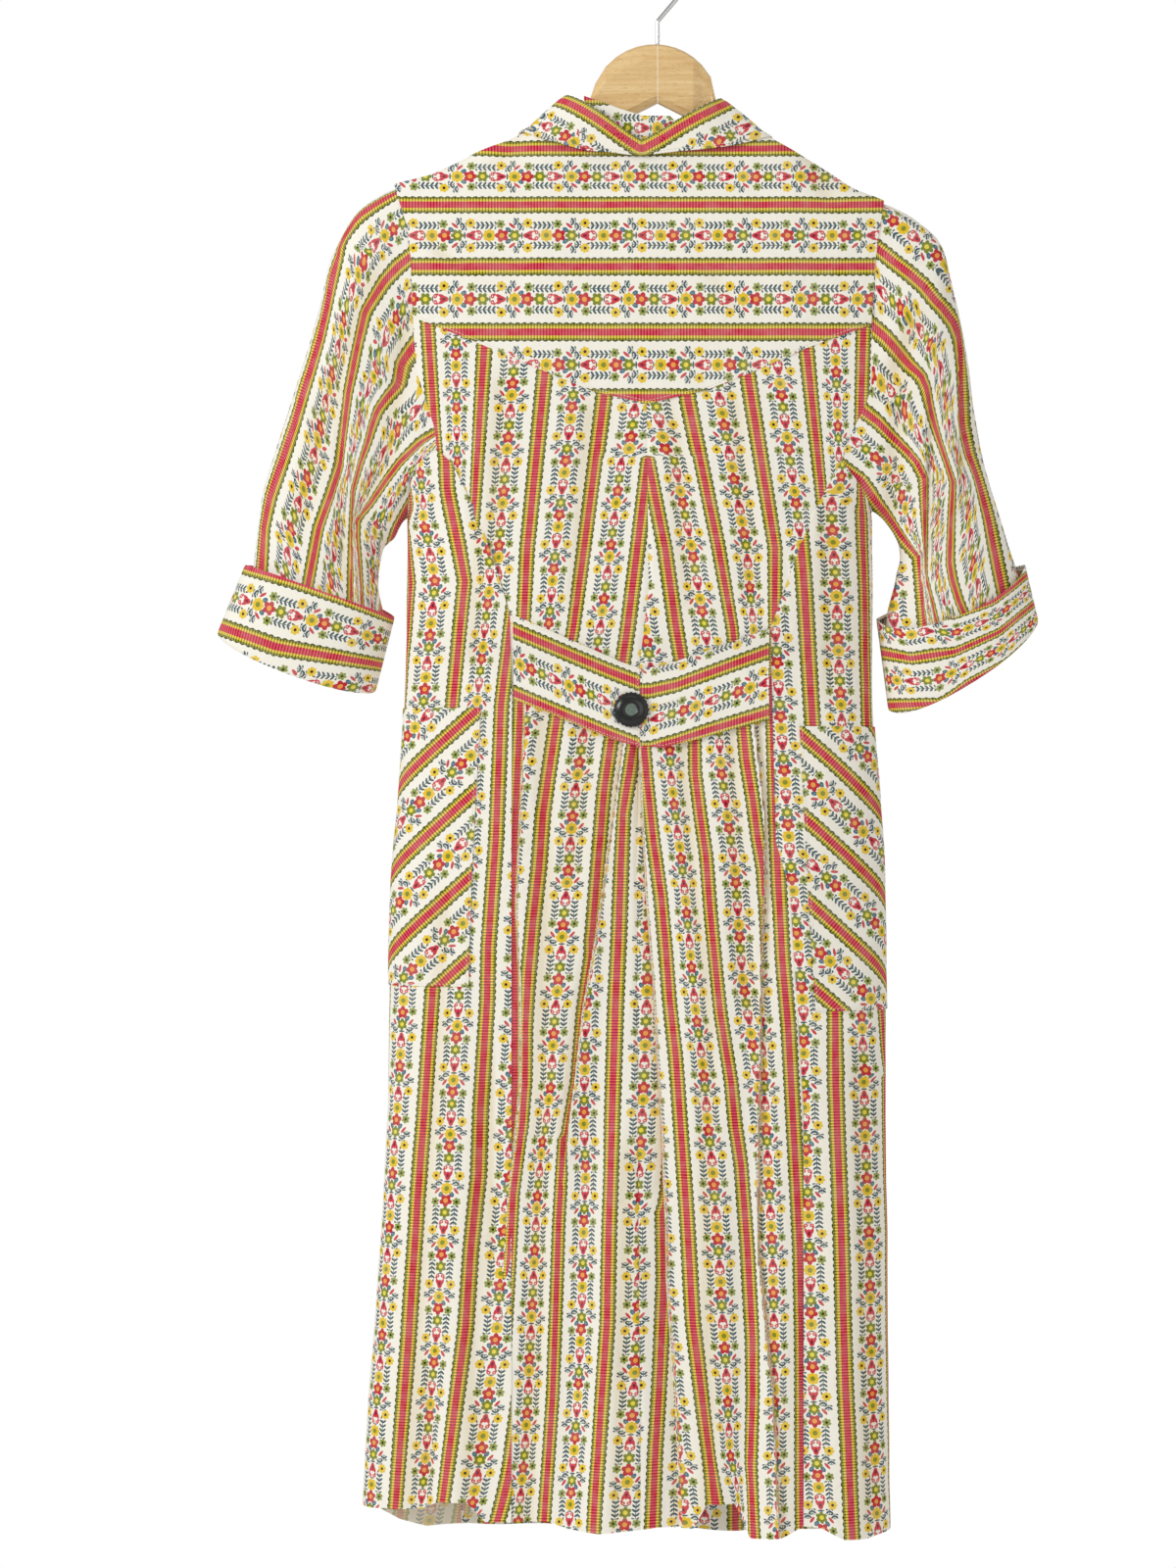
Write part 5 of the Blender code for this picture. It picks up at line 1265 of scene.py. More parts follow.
SIDE_RIGHT_LINES = (
    (0, ((500, 812), (583, 819), (740, 829), (900, 840), (1034, 852), (1105, 852), (1258, 858),
        (1411, 862), (1564, 869),
         (1600, 871))),
    (1, ((430, 872), (501, 878), (726, 884), (902, 890), (1090, 902), (1600, 920))),
)
# Creases that swallow cloth: place, and the stripe count on the left and on the right of each
# Columns: row, column, left, right
DIAGONAL_CREASE = (
    (690, 643, 2.2, 2.8), (740, 638, 2.2, 2.8), (810, 629, 2.22, 2.84), (898, 617, 2.13, 2.73),
    (953, 609, 2.07, 2.63),
    (975, 605, 2.0, 2.58), (1030, 595, 1.97, 2.47), (1104, 586, 1.93, 2.34), (1148, 580, 1.98, 2.24),
    (1200, 575, 2.05, 2.06), (1210, 574, 2.06, 2.06),
)
SEAM_CREASE = (
    (690, 652, -1.0, 0.92), (770, 652, -0.89, 0.92), (851, 656, -0.68, 0.83), (926, 660, -0.55, 0.75),
    (1008, 667, -0.41, 0.75), (1104, 672, -0.28, 0.67), (1145, 675, -0.2, 0.67), (1218, 678, -0.07, 0.64),
    (1247, 680, 0.05, 0.64), (1306, 681, 0.06, 0.61), (1335, 683, 0.09, 0.61), (1394, 688, 0.23, 0.6),
    (1482, 693, 0.4, 0.52), (1560, 697, 0.47, 0.48), (1600, 698, 0.5, 0.5),
)
RIGHT_CREASE = (
    (690, 765, 3.2, 3.7), (740, 770, 3.2, 3.65), (838, 781, 3.18, 3.82), (890, 781, 3.03, 3.78),
    (912, 781, 2.98, 3.77),
    (925, 779, 2.95, 3.7), (994, 777, 2.85, 3.6), (1104, 776, 2.53, 3.45), (1174, 774, 2.35, 3.35),
    (1277, 774, 2.19, 3.26), (1365, 783, 2.27, 3.39), (1420, 789, 2.37, 3.5), (1540, 794, 2.47, 3.58),
    (1600, 796, 2.47, 3.6),
)
LEFT_CREASE = (
    (700, 536, 0.08, 0.46), (736, 535, 0.08, 0.49), (830, 531, 0.08, 0.64), (925, 527, 0.08, 0.705),
    (994, 530, 0.08, 0.86), (1104, 531, 0.09, 0.92), (1150, 527, 0.09, 0.91), (1218, 518, 0.09, 0.91),
    (1277, 514, 0.09, 0.89), (1379, 506, 0.1, 0.86), (1482, 502, 0.1, 0.86), (1552, 498, 0.06, 0.92),
    (1600, 495, 0.05, 0.94),
)
SKIPS_LEFT = (DIAGONAL_CREASE, LEFT_CREASE)
SKIPS_RIGHT = (SEAM_CREASE, RIGHT_CREASE)
# Soft troughs of the back: each a line of (row, column), then 0 for soft, depth and half widths
# besides sinking the cloth, each trough paints shade into its colour
SOFT_BACK = (
    ((365, 512), (500, 507), (600, 500)), ((390, 606), (500, 597), (640, 586)), ((395, 683), (520, 695),
        (640, 708)),
    ((380, 746), (540, 762), (640, 770)), ((700, 553), (900, 557), (1080, 553), (1300, 548), (1590, 535)),
    ((720, 697), (890, 705), (1000, 722), (1250, 722), (1590, 724)),
    ((720, 747), (930, 753), (1060, 768)), ((1060, 836), (1350, 828), (1590, 836)),
    ((1150, 640), (1350, 637), (1590, 630)), ((700, 600), (800, 592), (920, 580)),
)
BACK_FOLDS = (
    (DIAGONAL_CREASE, 1, 2.3, 15.0, 7.0), (LEFT_CREASE, 1, 1.3, 10.0, 5.0), (SEAM_CREASE, 1, 1.9, 14.0, 6.0),
    (RIGHT_CREASE, -1, 2.1, 12.0, 6.0),
) + tuple((line, 0, 1.7, 7.5, 7.5) for line in SOFT_BACK)
SIDE_CREASE_A = ((1050, 500), (1334, 500))
SIDE_CREASE_B = ((1370, 436), (1545, 436))
SIDE_CREASE_C = ((1400, 494), (1545, 486))
SOFT_SIDE = (
    ((460, 484), (560, 490), (700, 484)), ((1080, 498), (1250, 486), (1400, 480), (1560, 476)),
    ((900, 455), (1100, 445), (1300, 430), (1560, 415)), ((480, 842), (620, 846), (730, 848)),
    ((1050, 878), (1300, 882), (1580, 888)),
)
SIDE_FOLDS = (
    (SIDE_CREASE_A, 0, 2.0, 4.0, 4.0), (SIDE_CREASE_B, 0, 2.2, 4.0, 4.0), (SIDE_CREASE_C, 0, 1.6, 3.5, 3.5),
) + tuple((line, 0, 1.6, 7.0, 7.0) for line in SOFT_SIDE)


# Drop of one yellow flower in the left back, right back, left side and right side panels, and its
# pixel column in the yoke
LEFT_FLOWER_DROP = 977.0
RIGHT_FLOWER_DROP = 503.5
SIDE_LEFT_FLOWER_DROP = 497.8
SIDE_RIGHT_FLOWER_DROP = 585.0
YOKE_FLOWER = 583.4


def chart_of(across, length):
    """The print's chart from a stripe count and a length in millimetres."""
    return np.stack([across, length / REPEAT_ALONG], axis=-1)


def long_panel(name, side):
    """A centre back panel, from under the yoke to the hem, with the crease beside its seam."""
    x, drop = back_grid(side, BACK_COLUMNS)
    skin = on_skin(x, drop, -1)
    normal = grid_normals(skin, INSIDE["back"] * (1.0, 1.0, 0.0) + skin * (0.0, 0.0, 1.0))
    across = stripes_across(skin, LEFT_LINES if side < 0 else RIGHT_LINES,
                            SKIPS_LEFT if side < 0 else SKIPS_RIGHT)
    rising = chart_of(across - 1.0, LEFT_FLOWER_DROP - drop)
    chart, other = rising, None
    if side > 0:
        chart = chart_of(across, drop - RIGHT_FLOWER_DROP)
        strip = np.zeros(drop.shape, dtype=bool)
        strip[:, :SEAM_COLUMN + 1] = drop[:, :SEAM_COLUMN + 1] > SEAM_STRIP_FROM
        other = (rising + (4.0, 0.0), strip)
    seam = along_drop(BACK_SEAM, drop)
    groove = -0.8 * np.exp(-((x - seam) / 1.8) ** 2)
    moved, shade = creased(skin, normal, BACK_FOLDS)
    free = np.clip((drop - 340.0) / 120.0, 0.2, 1.0)
    moved = moved + normal * (groove + ripple(skin, "back", side) * free)[..., None]
    return shell(name, moved, chart, PRINT, WRONG, centre=INSIDE["back"], shade=shade, other=other)


def front_panel(name, side):
    """A front panel, plain, from the shoulder to the hem; inside the hem its turning shows."""
    x, drop = front_grid(side, FRONT_COLUMNS)
    skin = on_skin(x, drop, 1, 0.3)
    normal = grid_normals(skin, INSIDE["front"])
    chart = chart_of((x - MIDDLE) / REPEAT + 0.5, drop)
    depth = ripple(skin, "front", side) * np.clip((drop - 300.0) / 200.0, 0.0, 1.0)
    skin = skin + normal * depth[..., None]
    hem = interp(FRONT_HEM, x)
    return shell(name, skin, chart, PRINT, WRONG, centre=INSIDE["front"], inner_right=drop > hem - HEM_TURN)


def side_panel(name, side):
    """A side panel: it laps over the back panel along the princess line and goes round to the front."""
    x, drop, face, place = side_grid(side, SIDE_COLUMNS, SIDE_ROWS)
    skin = side_skin(x, drop, face)
    centre = INSIDE["side"]
    normal = grid_normals(skin, centre)
    across = stripes_across(skin, SIDE_LEFT_LINES if side < 0 else SIDE_RIGHT_LINES)
    chart = chart_of(across, drop - SIDE_LEFT_FLOWER_DROP if side < 0 else SIDE_RIGHT_FLOWER_DROP - drop)
    moved, shade = creased(skin, normal, SIDE_FOLDS)
    edge = np.minimum(place, 1.0)
    lift = SIDE_EDGE_LIFT + SIDE_RISE * edge + ripple(skin, "side", side)
    moved = moved + normal * lift[..., None]
    return shell(name, moved, chart, PRINT, WRONG, centre=centre, shade=shade)


def yoke():
    """The back yoke, its stripes across, edge-stitched over the panels."""
    part = np.linspace(-1.0, 1.0, YOKE_COLUMNS)[None, :]
    fall = (np.linspace(0.0, 1.0, YOKE_ROWS) ** 1.6)[:, None]
    middle = BACK_SEAM[0][0]
    x = middle + 185.0 * part + 0.0 * fall
    for _ in range(ROUNDS):
        start = upper_edge(x, BACK_NECK) + 0.2
        level = start + (interp(YOKE_SEAM, x) - start) * fall
        edge = np.where(part < 0.0, along_drop(ARMHOLE_LEFT[:YOKE_ARMHOLE], level),
                        along_drop(ARMHOLE_RIGHT[:YOKE_ARMHOLE], level))
        x = x + 0.5 * (middle + (edge - middle) * np.abs(part) - x)
    skin = on_skin(x, level, -1, 0.3)
    centre = INSIDE["yoke"]
    normal = grid_normals(skin, centre)
    column, row = photo_place(skin)
    across = np.interp(row, YOKE_RIBBONS, range(len(YOKE_RIBBONS))) - 1.0
    chart = np.stack([across, (column - YOKE_FLOWER) / ALONG_PX], axis=-1)
    lift = YOKE_LIFT + ripple(skin, "yoke")
    moved, shade = creased(skin, normal, YOKE_FOLDS)
    skin = moved + normal * lift[..., None]
    sew("back_yoke_cloth", inset(skin[-1], skin[-3], 2.2) + normal[-1] * 0.12)
    return shell("back_yoke_cloth", skin, chart, PRINT, WRONG, centre=centre, shade=shade)


# Soft folds of the yoke
YOKE_FOLDS = (
    (((225, 432), (262, 452), (292, 500), (300, 520)), 0, 1.6, 7.0, 7.0),
    (((118, 545), (150, 520), (190, 500)), 0, 1.3, 9.0, 9.0), (((118, 800), (170, 830),
        (230, 860)), 0, 1.5, 9.0, 9.0),
    (((250, 700), (300, 740), (345, 760)), 0, 1.0, 8.0, 8.0),
)
# Pixel rows of the yoke's ribbons
YOKE_RIBBONS = (95.0, 152.0, 209.0, 272.0, 339.0, 406.0, 470.0)


def sleeve(name, side):
    """A sleeve from under the armhole's edge to inside the cuff; its ribbons follow the photograph."""
    rings = from_seam(smooth_rows(sleeve_rings(side, RING_COUNT), SLEEVE_ROWS))
    middle = rings.mean(axis=1, keepdims=True)
    normal = grid_normals(rings, middle, True)
    column, row = photo_place(rings)
    lines = SLEEVE_LEFT_LINES if side < 0 else SLEEVE_RIGHT_LINES
    spot = np.array(SLEEVE_FLOWERS[side])
    start = float(ribbon_field(spot[:1], spot[1:], lines)[1][0])
    count, down = ribbon_field(column, row, lines)
    # where the cloth turns away from the eye, and on the far half, the print goes on round the arm
    run = run_along(rings)
    outer = rings.shape[1] // 2
    printed = np.hypot(np.diff(count, axis=1) * REPEAT, np.diff(down, axis=1) * PHOTO_SCALE)
    faced = (printed > TURNED_AWAY * np.diff(run, axis=1))[:, :outer]
    turn = outer - 1 - np.argmax(faced[:, ::-1], axis=1)
    evened = np.convolve(np.pad(turn, 4, mode="edge"), np.full(9, 1.0 / 9.0), mode="valid")
    turn = np.round(evened).astype(int)
    each = np.arange(len(rings))
    beyond = np.arange(rings.shape[1])[None, :] > turn[:, None]
    further = count[each, turn][:, None] + side * (run - run[each, turn][:, None]) / REPEAT
    count = np.where(beyond, further, count)
    down = np.where(beyond, down[each, turn][:, None], down)
    chart = np.stack([count + (0.0 if side < 0 else 1.0), (start - down) / SLEEVE_ALONG_PX], axis=-1)
    moved, shade = creased(rings, normal, SLEEVE_LEFT_FOLDS if side < 0 else SLEEVE_RIGHT_FOLDS)
    moved = moved + normal * ripple(rings, "sleeve", side)[..., None]
    return shell(name, moved, chart, PRINT, WRONG, centre=middle, join=True, shade=shade)


# Share of a step round the arm that the photograph's print covers, below which the cloth is turned away
TURNED_AWAY = 0.6
# Pixels of one repeat along the sleeves, and the column and row of a yellow flower on each
SLEEVE_ALONG_PX = 55.5
SLEEVE_FLOWERS = {-1: (391.6, 239.5), 1: (953.6, 355.3)}
SLEEVE_LEFT_LINES = (
    (0, ((198, 398), (207, 383), (219, 366), (231, 355), (246, 345), (260, 343.5), (285, 339), (310, 334.7),
         (346, 327), (373, 319), (404, 309.5), (432, 301), (470, 288), (507, 275), (539, 268), (580, 267),
         (640, 262))),
    (1, ((262, 419), (272, 406), (287, 391.5), (306, 379), (318, 371.5), (340, 367), (365, 362), (400, 356),
         (437, 352), (476, 348), (507, 338), (539, 326), (598, 314), (660, 306))),
    (2, ((345, 428), (357, 418), (370, 409), (392, 406), (403, 396), (417, 385), (434, 379), (451, 374.7),
         (470, 368), (500, 360), (614, 360), (660, 362))),
    (3, ((445, 445), (453, 429.5), (462, 419), (472, 408), (490, 394), (514, 377), (530, 363), (549, 363),
         (574, 365), (640, 369))),
    (4, ((490, 430), (507, 421), (537, 405), (557, 398), (600, 392))),
)
SLEEVE_RIGHT_LINES = (
    (-3, ((465, 845), (478, 862), (490, 879), (507, 891), (529, 906), (550, 923), (567, 939), (650, 946))),
    (-2, ((420, 881), (431, 896), (446, 911), (458, 924), (471, 936), (487, 944), (586, 943), (618, 951),
          (645, 957), (680, 965))),
    (-1, ((334, 892), (345, 904.7), (357, 915), (372, 928), (383, 940.5), (395, 946), (412, 949), (429, 953),
          (448, 958), (469, 964.7), (492, 972), (575, 968), (596, 972), (617, 979), (631, 986), (660, 994))),
    (0, ((245, 884), (257, 899.5), (268, 913), (279.5, 928), (292, 942.6), (305, 953), (316, 963.7),
         (330, 974), (345, 979), (434, 981), (465, 987), (486, 995), (502, 1000), (531, 1008), (565, 1015),
         (600, 1022), (650, 1030))),
)
SLEEVE_LEFT_FOLDS = (
    (((250, 395), (420, 330), (560, 300)), 0, 1.8, 8.0, 8.0), (((300, 420), (470, 395),
        (600, 330)), 0, 1.8, 8.0, 8.0),
    (((320, 352), (330, 352), (437, 349), (546, 352), (600, 361), (660, 368)), 1, 1.6, 12.0, 6.0),)
SLEEVE_RIGHT_FOLDS = (
    (((380, 947), (393, 947), (575, 944), (600, 944)), -1, 1.6, 12.0, 6.0),
    (((340, 979), (354, 978), (519, 978), (540, 978)), -1, 1.4, 10.0, 5.0),
    (((300, 905), (345, 880)), 0, 2.0, 8.0, 8.0),
    (((300, 945), (420, 895)), 0, 2.0, 9.0, 9.0),
    (((330, 925), (560, 905)), 0, 1.8, 7.0, 7.0),
)


# The cuffs' ribbons: stripe count, then (column, row) points
CUFF_LEFT_LINES = (
    (0, ((220, 566), (255, 579), (300, 592), (350, 610), (398, 629), (420, 636))),
    (1, ((200, 634), (226, 640), (282, 660), (375, 676), (420, 684))),
)
CUFF_RIGHT_LINES = (
    (0, ((870, 655), (893, 665), (930, 672), (975, 665), (1020, 645), (1060, 612))),
    (1, ((880, 722), (909, 720), (960, 718), (1000, 688), (1059, 650), (1080, 640))),
)


# The cuff's section, from its upper edge round the fold: part of its depth, and how far outside the sleeve
CUFF_SECTION = (
    (0.97, 1.6), (1.0, 2.2), (1.0, 2.9), (0.97, 3.1), (0.66, 2.2), (0.33, 1.3), (0.06, 0.6), (0.012, 0.1),
    (0.0, -0.9), (0.0, -1.5), (0.012, -2.1), (0.06, -2.6), (0.2, -2.7),
)
# Its rows that face outwards, and the most and least stripes a millimetre that the cloth can show
CUFF_OUTER = slice(4, 50)
STRIPES_LEAST = 0.014
STRIPES_MOST = 0.03
# Pixel column and row of a yellow flower of each cuff
CUFF_FLOWERS = {-1: (263.9, 615.0), 1: (970.3, 687.9)}


def cuff(name, side):
    """Turned back: from its upper edge down outside the sleeve, round the fold and a short way inside."""
    lengths = [0.0]
    for (a, g), (b, h) in zip(CUFF_SECTION, CUFF_SECTION[1:]):
        lengths.append(lengths[-1] + math.hypot((b - a) * CUFF_DEPTH, h - g))
    place = np.linspace(0.0, lengths[-1], CUFF_ROWS)
    parts = np.interp(place, lengths, [row[0] for row in CUFF_SECTION])
    grows = np.interp(place, lengths, [row[1] for row in CUFF_SECTION])
    rings = from_seam(np.array([cuff_ring(side, part, grow, RING_COUNT) for part, grow in zip(parts, grows)]))
    column, row = photo_place(rings)
    outer = CUFF_OUTER
    near = rings.shape[1] // 2
    count_at = np.zeros(rings.shape[1])
    slope_at = np.zeros(rings.shape[1])
    for index in range(near + 1):
        found = []
        for value, line in (CUFF_LEFT_LINES if side < 0 else CUFF_RIGHT_LINES):
            columns, rows = zip(*line)
            ribbon_row = np.interp(column[outer, index], columns, rows)
            past = row[outer, index] - ribbon_row
            reach = place[outer]
            cut = np.interp(0.0, past, reach)
            if past[0] > 0.0:
                cut = reach[0] - past[0] * PHOTO_SCALE
            elif past[-1] < 0.0:
                cut = reach[-1] - past[-1] * PHOTO_SCALE
            found.append((cut, value))
        slope = (found[1][1] - found[0][1]) / max(found[1][0] - found[0][0], 20.0)
        slope_at[index] = np.clip(slope, STRIPES_LEAST, STRIPES_MOST)
        count_at[index] = found[0][1] - found[0][0] * slope_at[index]
    far = np.linspace(0.0, 1.0, rings.shape[1] - near)
    count_at[near:] = count_at[near] * (1.0 - far) + count_at[0] * far
    slope_at[near:] = slope_at[near] * (1.0 - far) + slope_at[0] * far
    across = count_at[None, :] + slope_at[None, :] * place[:, None]
    run = run_along(rings)
    flower_column, flower_row = CUFF_FLOWERS[side]
    gap = np.hypot(column - flower_column, row - flower_row)[outer, :near + 1]
    ring, index = np.unravel_index(gap.argmin(), gap.shape)
    length = (run[outer][ring, index] - run) / (ALONG_PX * PHOTO_SCALE)
    return shell(name, rings, np.stack([across, length], axis=-1), PRINT, PRINT, thick=CUFF_THICK, join=True)


def collar(name, side):
    """Half the collar: it rolls up off the neck, and a ribbon runs along the roll."""
    grid, roll = collar_grid(side, 76, 20)
    part = np.linspace(0.0, 1.0, 20)
    normal = np.cross(np.gradient(grid, axis=0), np.gradient(grid, axis=1)) * (1 if side < 0 else -1)
    normal = normal / (np.linalg.norm(normal, axis=-1, keepdims=True) + 1e-9)
    lift = np.interp(part, (0.0, 0.12, 0.5, 1.0), (0.0, 1.2, 1.6, 0.3))
    middle = grid[0].copy()
    grid = grid + normal * lift[None, :, None]
    grid = clear_of_body(grid, 2.2)
    grid[0, :, 0] = middle[:, 0]
    gaps = np.linalg.norm(grid[:, :, None, :] - roll[None, None, :, :], axis=-1)
    nearest = gaps.argmin(axis=-1)
    run = run_along(roll[None])[0]
    across = gaps.min(axis=-1) / REPEAT - 0.14
    chart = np.stack([across, run[nearest] / REPEAT_ALONG], axis=-1)
    sew(name, inset(grid[:, -1], grid[:, -3], 2.0) + normal[:, -1] * 0.15)
    return shell(name, np.swapaxes(grid, 0, 1), np.swapaxes(chart, 0, 1), PRINT, PRINT,
                 inside=np.swapaxes(grid - normal * COLLAR_THICK, 0, 1))


def neck_band():
    """The neck band's back, which shows in the collar's notch."""
    table = np.array(BAND, dtype=float)
    x = np.linspace(table[0, 0], table[-1, 0], 50)[None, :] + np.zeros((12, 1))
    fall = np.linspace(0.0, 1.0, 12)[:, None]
    top = np.interp(x, table[:, 0], table[:, 1])
    foot = np.interp(x, table[:, 0], table[:, 2])
    level = top + (foot - top) * fall
    held = np.maximum(level, upper_edge(x, BACK_NECK))
    y = body_y(x, held, -1) + WALL + 0.9
    skin = np.stack([x, y, -level], axis=-1)
    chart = np.stack([0.5 + (level - 131.0) / REPEAT, x / REPEAT_ALONG], axis=-1)
    return shell("neck_band_cloth", skin, chart, PRINT, PRINT, inside=skin + np.array([0.0, 1.0, 0.0]))


# Belt ribbons in the photograph: column, and the rows of the upper and lower ribbon's middles
# Columns: column, upper, lower
BELT_LEFT_LINES = ((521, 642, 706), (598, 675, 739), (622, 685, 749), (653, 697, 761))
BELT_RIGHT_LINES = ((663, 705, 764), (690, 699, 756), (720, 688, 746), (783, 665, 727))
# Column of a yellow flower and columns from one to the next, negative where the flowers run left
BELT_FLOWERS = {-1: (530.8, 50.1), 1: (709.9, -55.5)}
# Where the two halves meet, under the button
BELT_MEET = -13.6
BUTTONHOLES = {-1: ((-53.0, 580.0), (-37.0, 586.0)), 1: ((-5.0, 588.0), (18.0, 581.0))}


def belt(name, side):
    """Half of the belt: a flat double strip, edge-stitched, with a worked buttonhole beside the button."""
    table = np.array(BELT_LEFT if side < 0 else BELT_RIGHT, dtype=float)
    if side > 0:
        table[0, 0] = BELT_MEET
    x = np.linspace(table[0, 0], table[-1, 0], BELT_COLUMNS)[None, :] + np.zeros((BELT_ROWS, 1))
    fall = np.linspace(0.0, 1.0, BELT_ROWS)[:, None]
    top = np.interp(x, table[:, 0], table[:, 1])
    foot = np.interp(x, table[:, 0], table[:, 2])
    drop = top + (foot - top) * fall
    skin = on_skin(x, drop, -1)
    centre = INSIDE["belt"]
    normal = grid_normals(skin, centre)
    skin = skin + normal * (BELT_LIFT + ripple(skin, "belt"))[..., None]
    column, row = photo_place(skin)
    lines = np.array(BELT_LEFT_LINES if side < 0 else BELT_RIGHT_LINES, dtype=float)
    upper = np.interp(column, lines[:, 0], lines[:, 1])
    lower = np.interp(column, lines[:, 0], lines[:, 2])
    start, pitch = BELT_FLOWERS[side]
    chart = np.stack([(row - upper) / (lower - upper), (column - start) / pitch], axis=-1)
    outer = skin + normal * 0.1
    end = (outer[:, -1], outer[:, -3]) if side < 0 else (outer[:, 0], outer[:, 2])
    for edge, inner in ((outer[0], outer[2]), (outer[-1], outer[-3]), end):
        sew(name, inset(edge, inner, STITCH_IN))
    (first_x, first_drop), (last_x, last_drop) = BUTTONHOLES[side]
    for shift in (-HOLE_HALF, HOLE_HALF):
        hole_x = np.linspace(first_x, last_x, 12)
        hole_drop = np.linspace(first_drop, last_drop, 12) + shift
        slit = on_skin(hole_x, hole_drop, -1)
        sew(name, slit - (0.0, BELT_LIFT + 0.15, 0.0), HOLE_PITCH)
    return shell(name, skin, chart, PRINT, PRINT, thick=BELT_THICK, centre=centre)


# A fine grid of the side panel under a pocket: its columns, those that the pocket covers, and its rows
# between armhole and hem
FINE_COLUMNS = 281
POCKET_SPAN = range(40, 201, 4)
POCKET_LEVELS = slice(17, 196)
# Fall of the pockets' ribbons for each pixel across, and pixels from one to the next straight down
POCKET_SLOPE = 0.875
POCKET_PITCH_PX = 81.0
# Shift of the ribbons, and pixel column and row of a yellow flower of each pocket
POCKET_PRINT = {-1: (0.0, 461.5, 789.2), 1: (0.291, 837.9, 809.2)}


def pocket(name, side):
    """A patch pocket cut on the slant, stitched round three sides; it lies on the side panel's relief."""
    x, drop, face, _ = side_grid(side, FINE_COLUMNS, SIDE_ROWS)
    x, drop, face = x[POCKET_LEVELS], drop[POCKET_LEVELS], face[POCKET_LEVELS]
    top, foot = (POCKET_TOP_LEFT, POCKET_FOOT_LEFT) if side < 0 else (POCKET_TOP_RIGHT, POCKET_FOOT_RIGHT)
    level = np.linspace(top, foot, POCKET_ROWS)
    around = angle_of(x, drop, side, np.where(face < 0, -1, 1))
    angle = np.array([np.interp(level, drop[:, column], np.unwrap(around[:, column]))
                      for column in POCKET_SPAN]).T
    levels = np.repeat(level[:, None], len(POCKET_SPAN), axis=1)
    px = round_body(angle, levels, side)
    skin = side_skin(px, levels, np.where(angle < math.pi / 2, -1.0, 1.0))
    centre = INSIDE["side"]
    normal = grid_normals(skin, centre)
    run = run_along(skin)
    skin, shade = creased(skin, normal, SIDE_FOLDS)
    skin = skin + normal * (POCKET_LIFT + ripple(skin, "side", side))[..., None]
    flat_x = px[:, :1] + side * run
    shift, flower_column, flower_row = POCKET_PRINT[side]
    flat_column, flat_row = flat_x / PHOTO_SCALE, drop_px(levels)
    across = (flat_row - side * POCKET_SLOPE * flat_column) / POCKET_PITCH_PX + shift
    length = (flat_column + side * POCKET_SLOPE * flat_row) / math.hypot(1.0, POCKET_SLOPE) / ALONG_PX
    column, row = photo_place(skin)
    gap = np.hypot(column - flower_column, row - flower_row)
    length = length[np.unravel_index(gap.argmin(), gap.shape)] - length
    outer = skin + normal * 0.1
    for edge, inner in ((outer[:, 0], outer[:, 2]), (outer[-1], outer[-3]), (outer[:, -1], outer[:, -3])):
        sew(name, inset(edge, inner, STITCH_IN))
    return shell(name, skin, np.stack([across, length], axis=-1), PRINT, PRINT, thick=POCKET_THICK,
                 centre=centre, shade=shade)


def drop_px(drop):
    """A drop in the photograph's pixels."""
    return (drop - PHOTO_TOP) / PHOTO_SCALE


# Columns: piece, width, length, area, held, rests_on
CUT = (
    ("back_panel_left", 0.19, 0.97, 0.110, "hung", ("back_yoke_cloth",)),
    ("back_panel_right", 0.19, 0.97, 0.126, "hung", ("back_yoke_cloth",)),
    ("front_panel_left", 0.21, 1.17, 0.171, "hung", ("hanger_arm_left",)),
    ("front_panel_right", 0.21, 1.17, 0.171, "hung", ("hanger_arm_right",)),
    ("side_panel_left", 0.24, 0.90, 0.163, "hung", ("back_panel_left_cloth",)),
    ("side_panel_right", 0.20, 0.90, 0.137, "hung", ("back_panel_right_cloth",)),
    ("sleeve_left", 0.36, 0.34, 0.086, "hung", ("back_yoke_cloth",)),
    ("sleeve_right", 0.36, 0.34, 0.080, "hung", ("back_yoke_cloth",)),
    ("cuff_left", 0.29, 0.105, 0.029, "folded", ("sleeve_left_cloth",)),
    ("cuff_right", 0.29, 0.105, 0.026, "folded", ("sleeve_right_cloth",)),
    ("collar_left", 0.22, 0.06, 0.0103, "laid", ("back_yoke_cloth",)),
    ("collar_right", 0.22, 0.06, 0.0105, "laid", ("back_yoke_cloth",)),
    ("belt_left", 0.11, 0.07, 0.0066, "laid", ("back_panel_left_cloth",)),
    ("belt_right", 0.105, 0.07, 0.0069, "laid", ("back_panel_right_cloth",)),
    ("pocket_left", 0.12, 0.225, 0.0243, "laid", ("side_panel_left_cloth",)),
    ("pocket_right", 0.12, 0.225, 0.0241, "laid", ("side_panel_right_cloth",)),
    ("back_yoke", 0.42, 0.25, 0.069, "hung", ("hanger_arm_left", "hanger_arm_right")),
    ("neck_band", 0.085, 0.036, 0.0024, "hung", ("back_yoke_cloth",)),
)
MAKERS = {"back_panel": long_panel, "front_panel": front_panel, "side_panel": side_panel, "sleeve": sleeve,
          "cuff": cuff, "collar": collar, "belt": belt, "pocket": pocket}


def dress():
    """Every cloth piece, from a table that also lists the size it was cut to."""
    for node, width, length, area, held, rests_on in CUT:
        name = node + "_cloth"
        if node == "back_yoke":
            item = yoke()
        elif node == "neck_band":
            item = neck_band()
        else:
            kind, word = node.rsplit("_", 1)
            item = MAKERS[kind](name, -1 if word == "left" else 1)
        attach(item, "root")
        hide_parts(node)


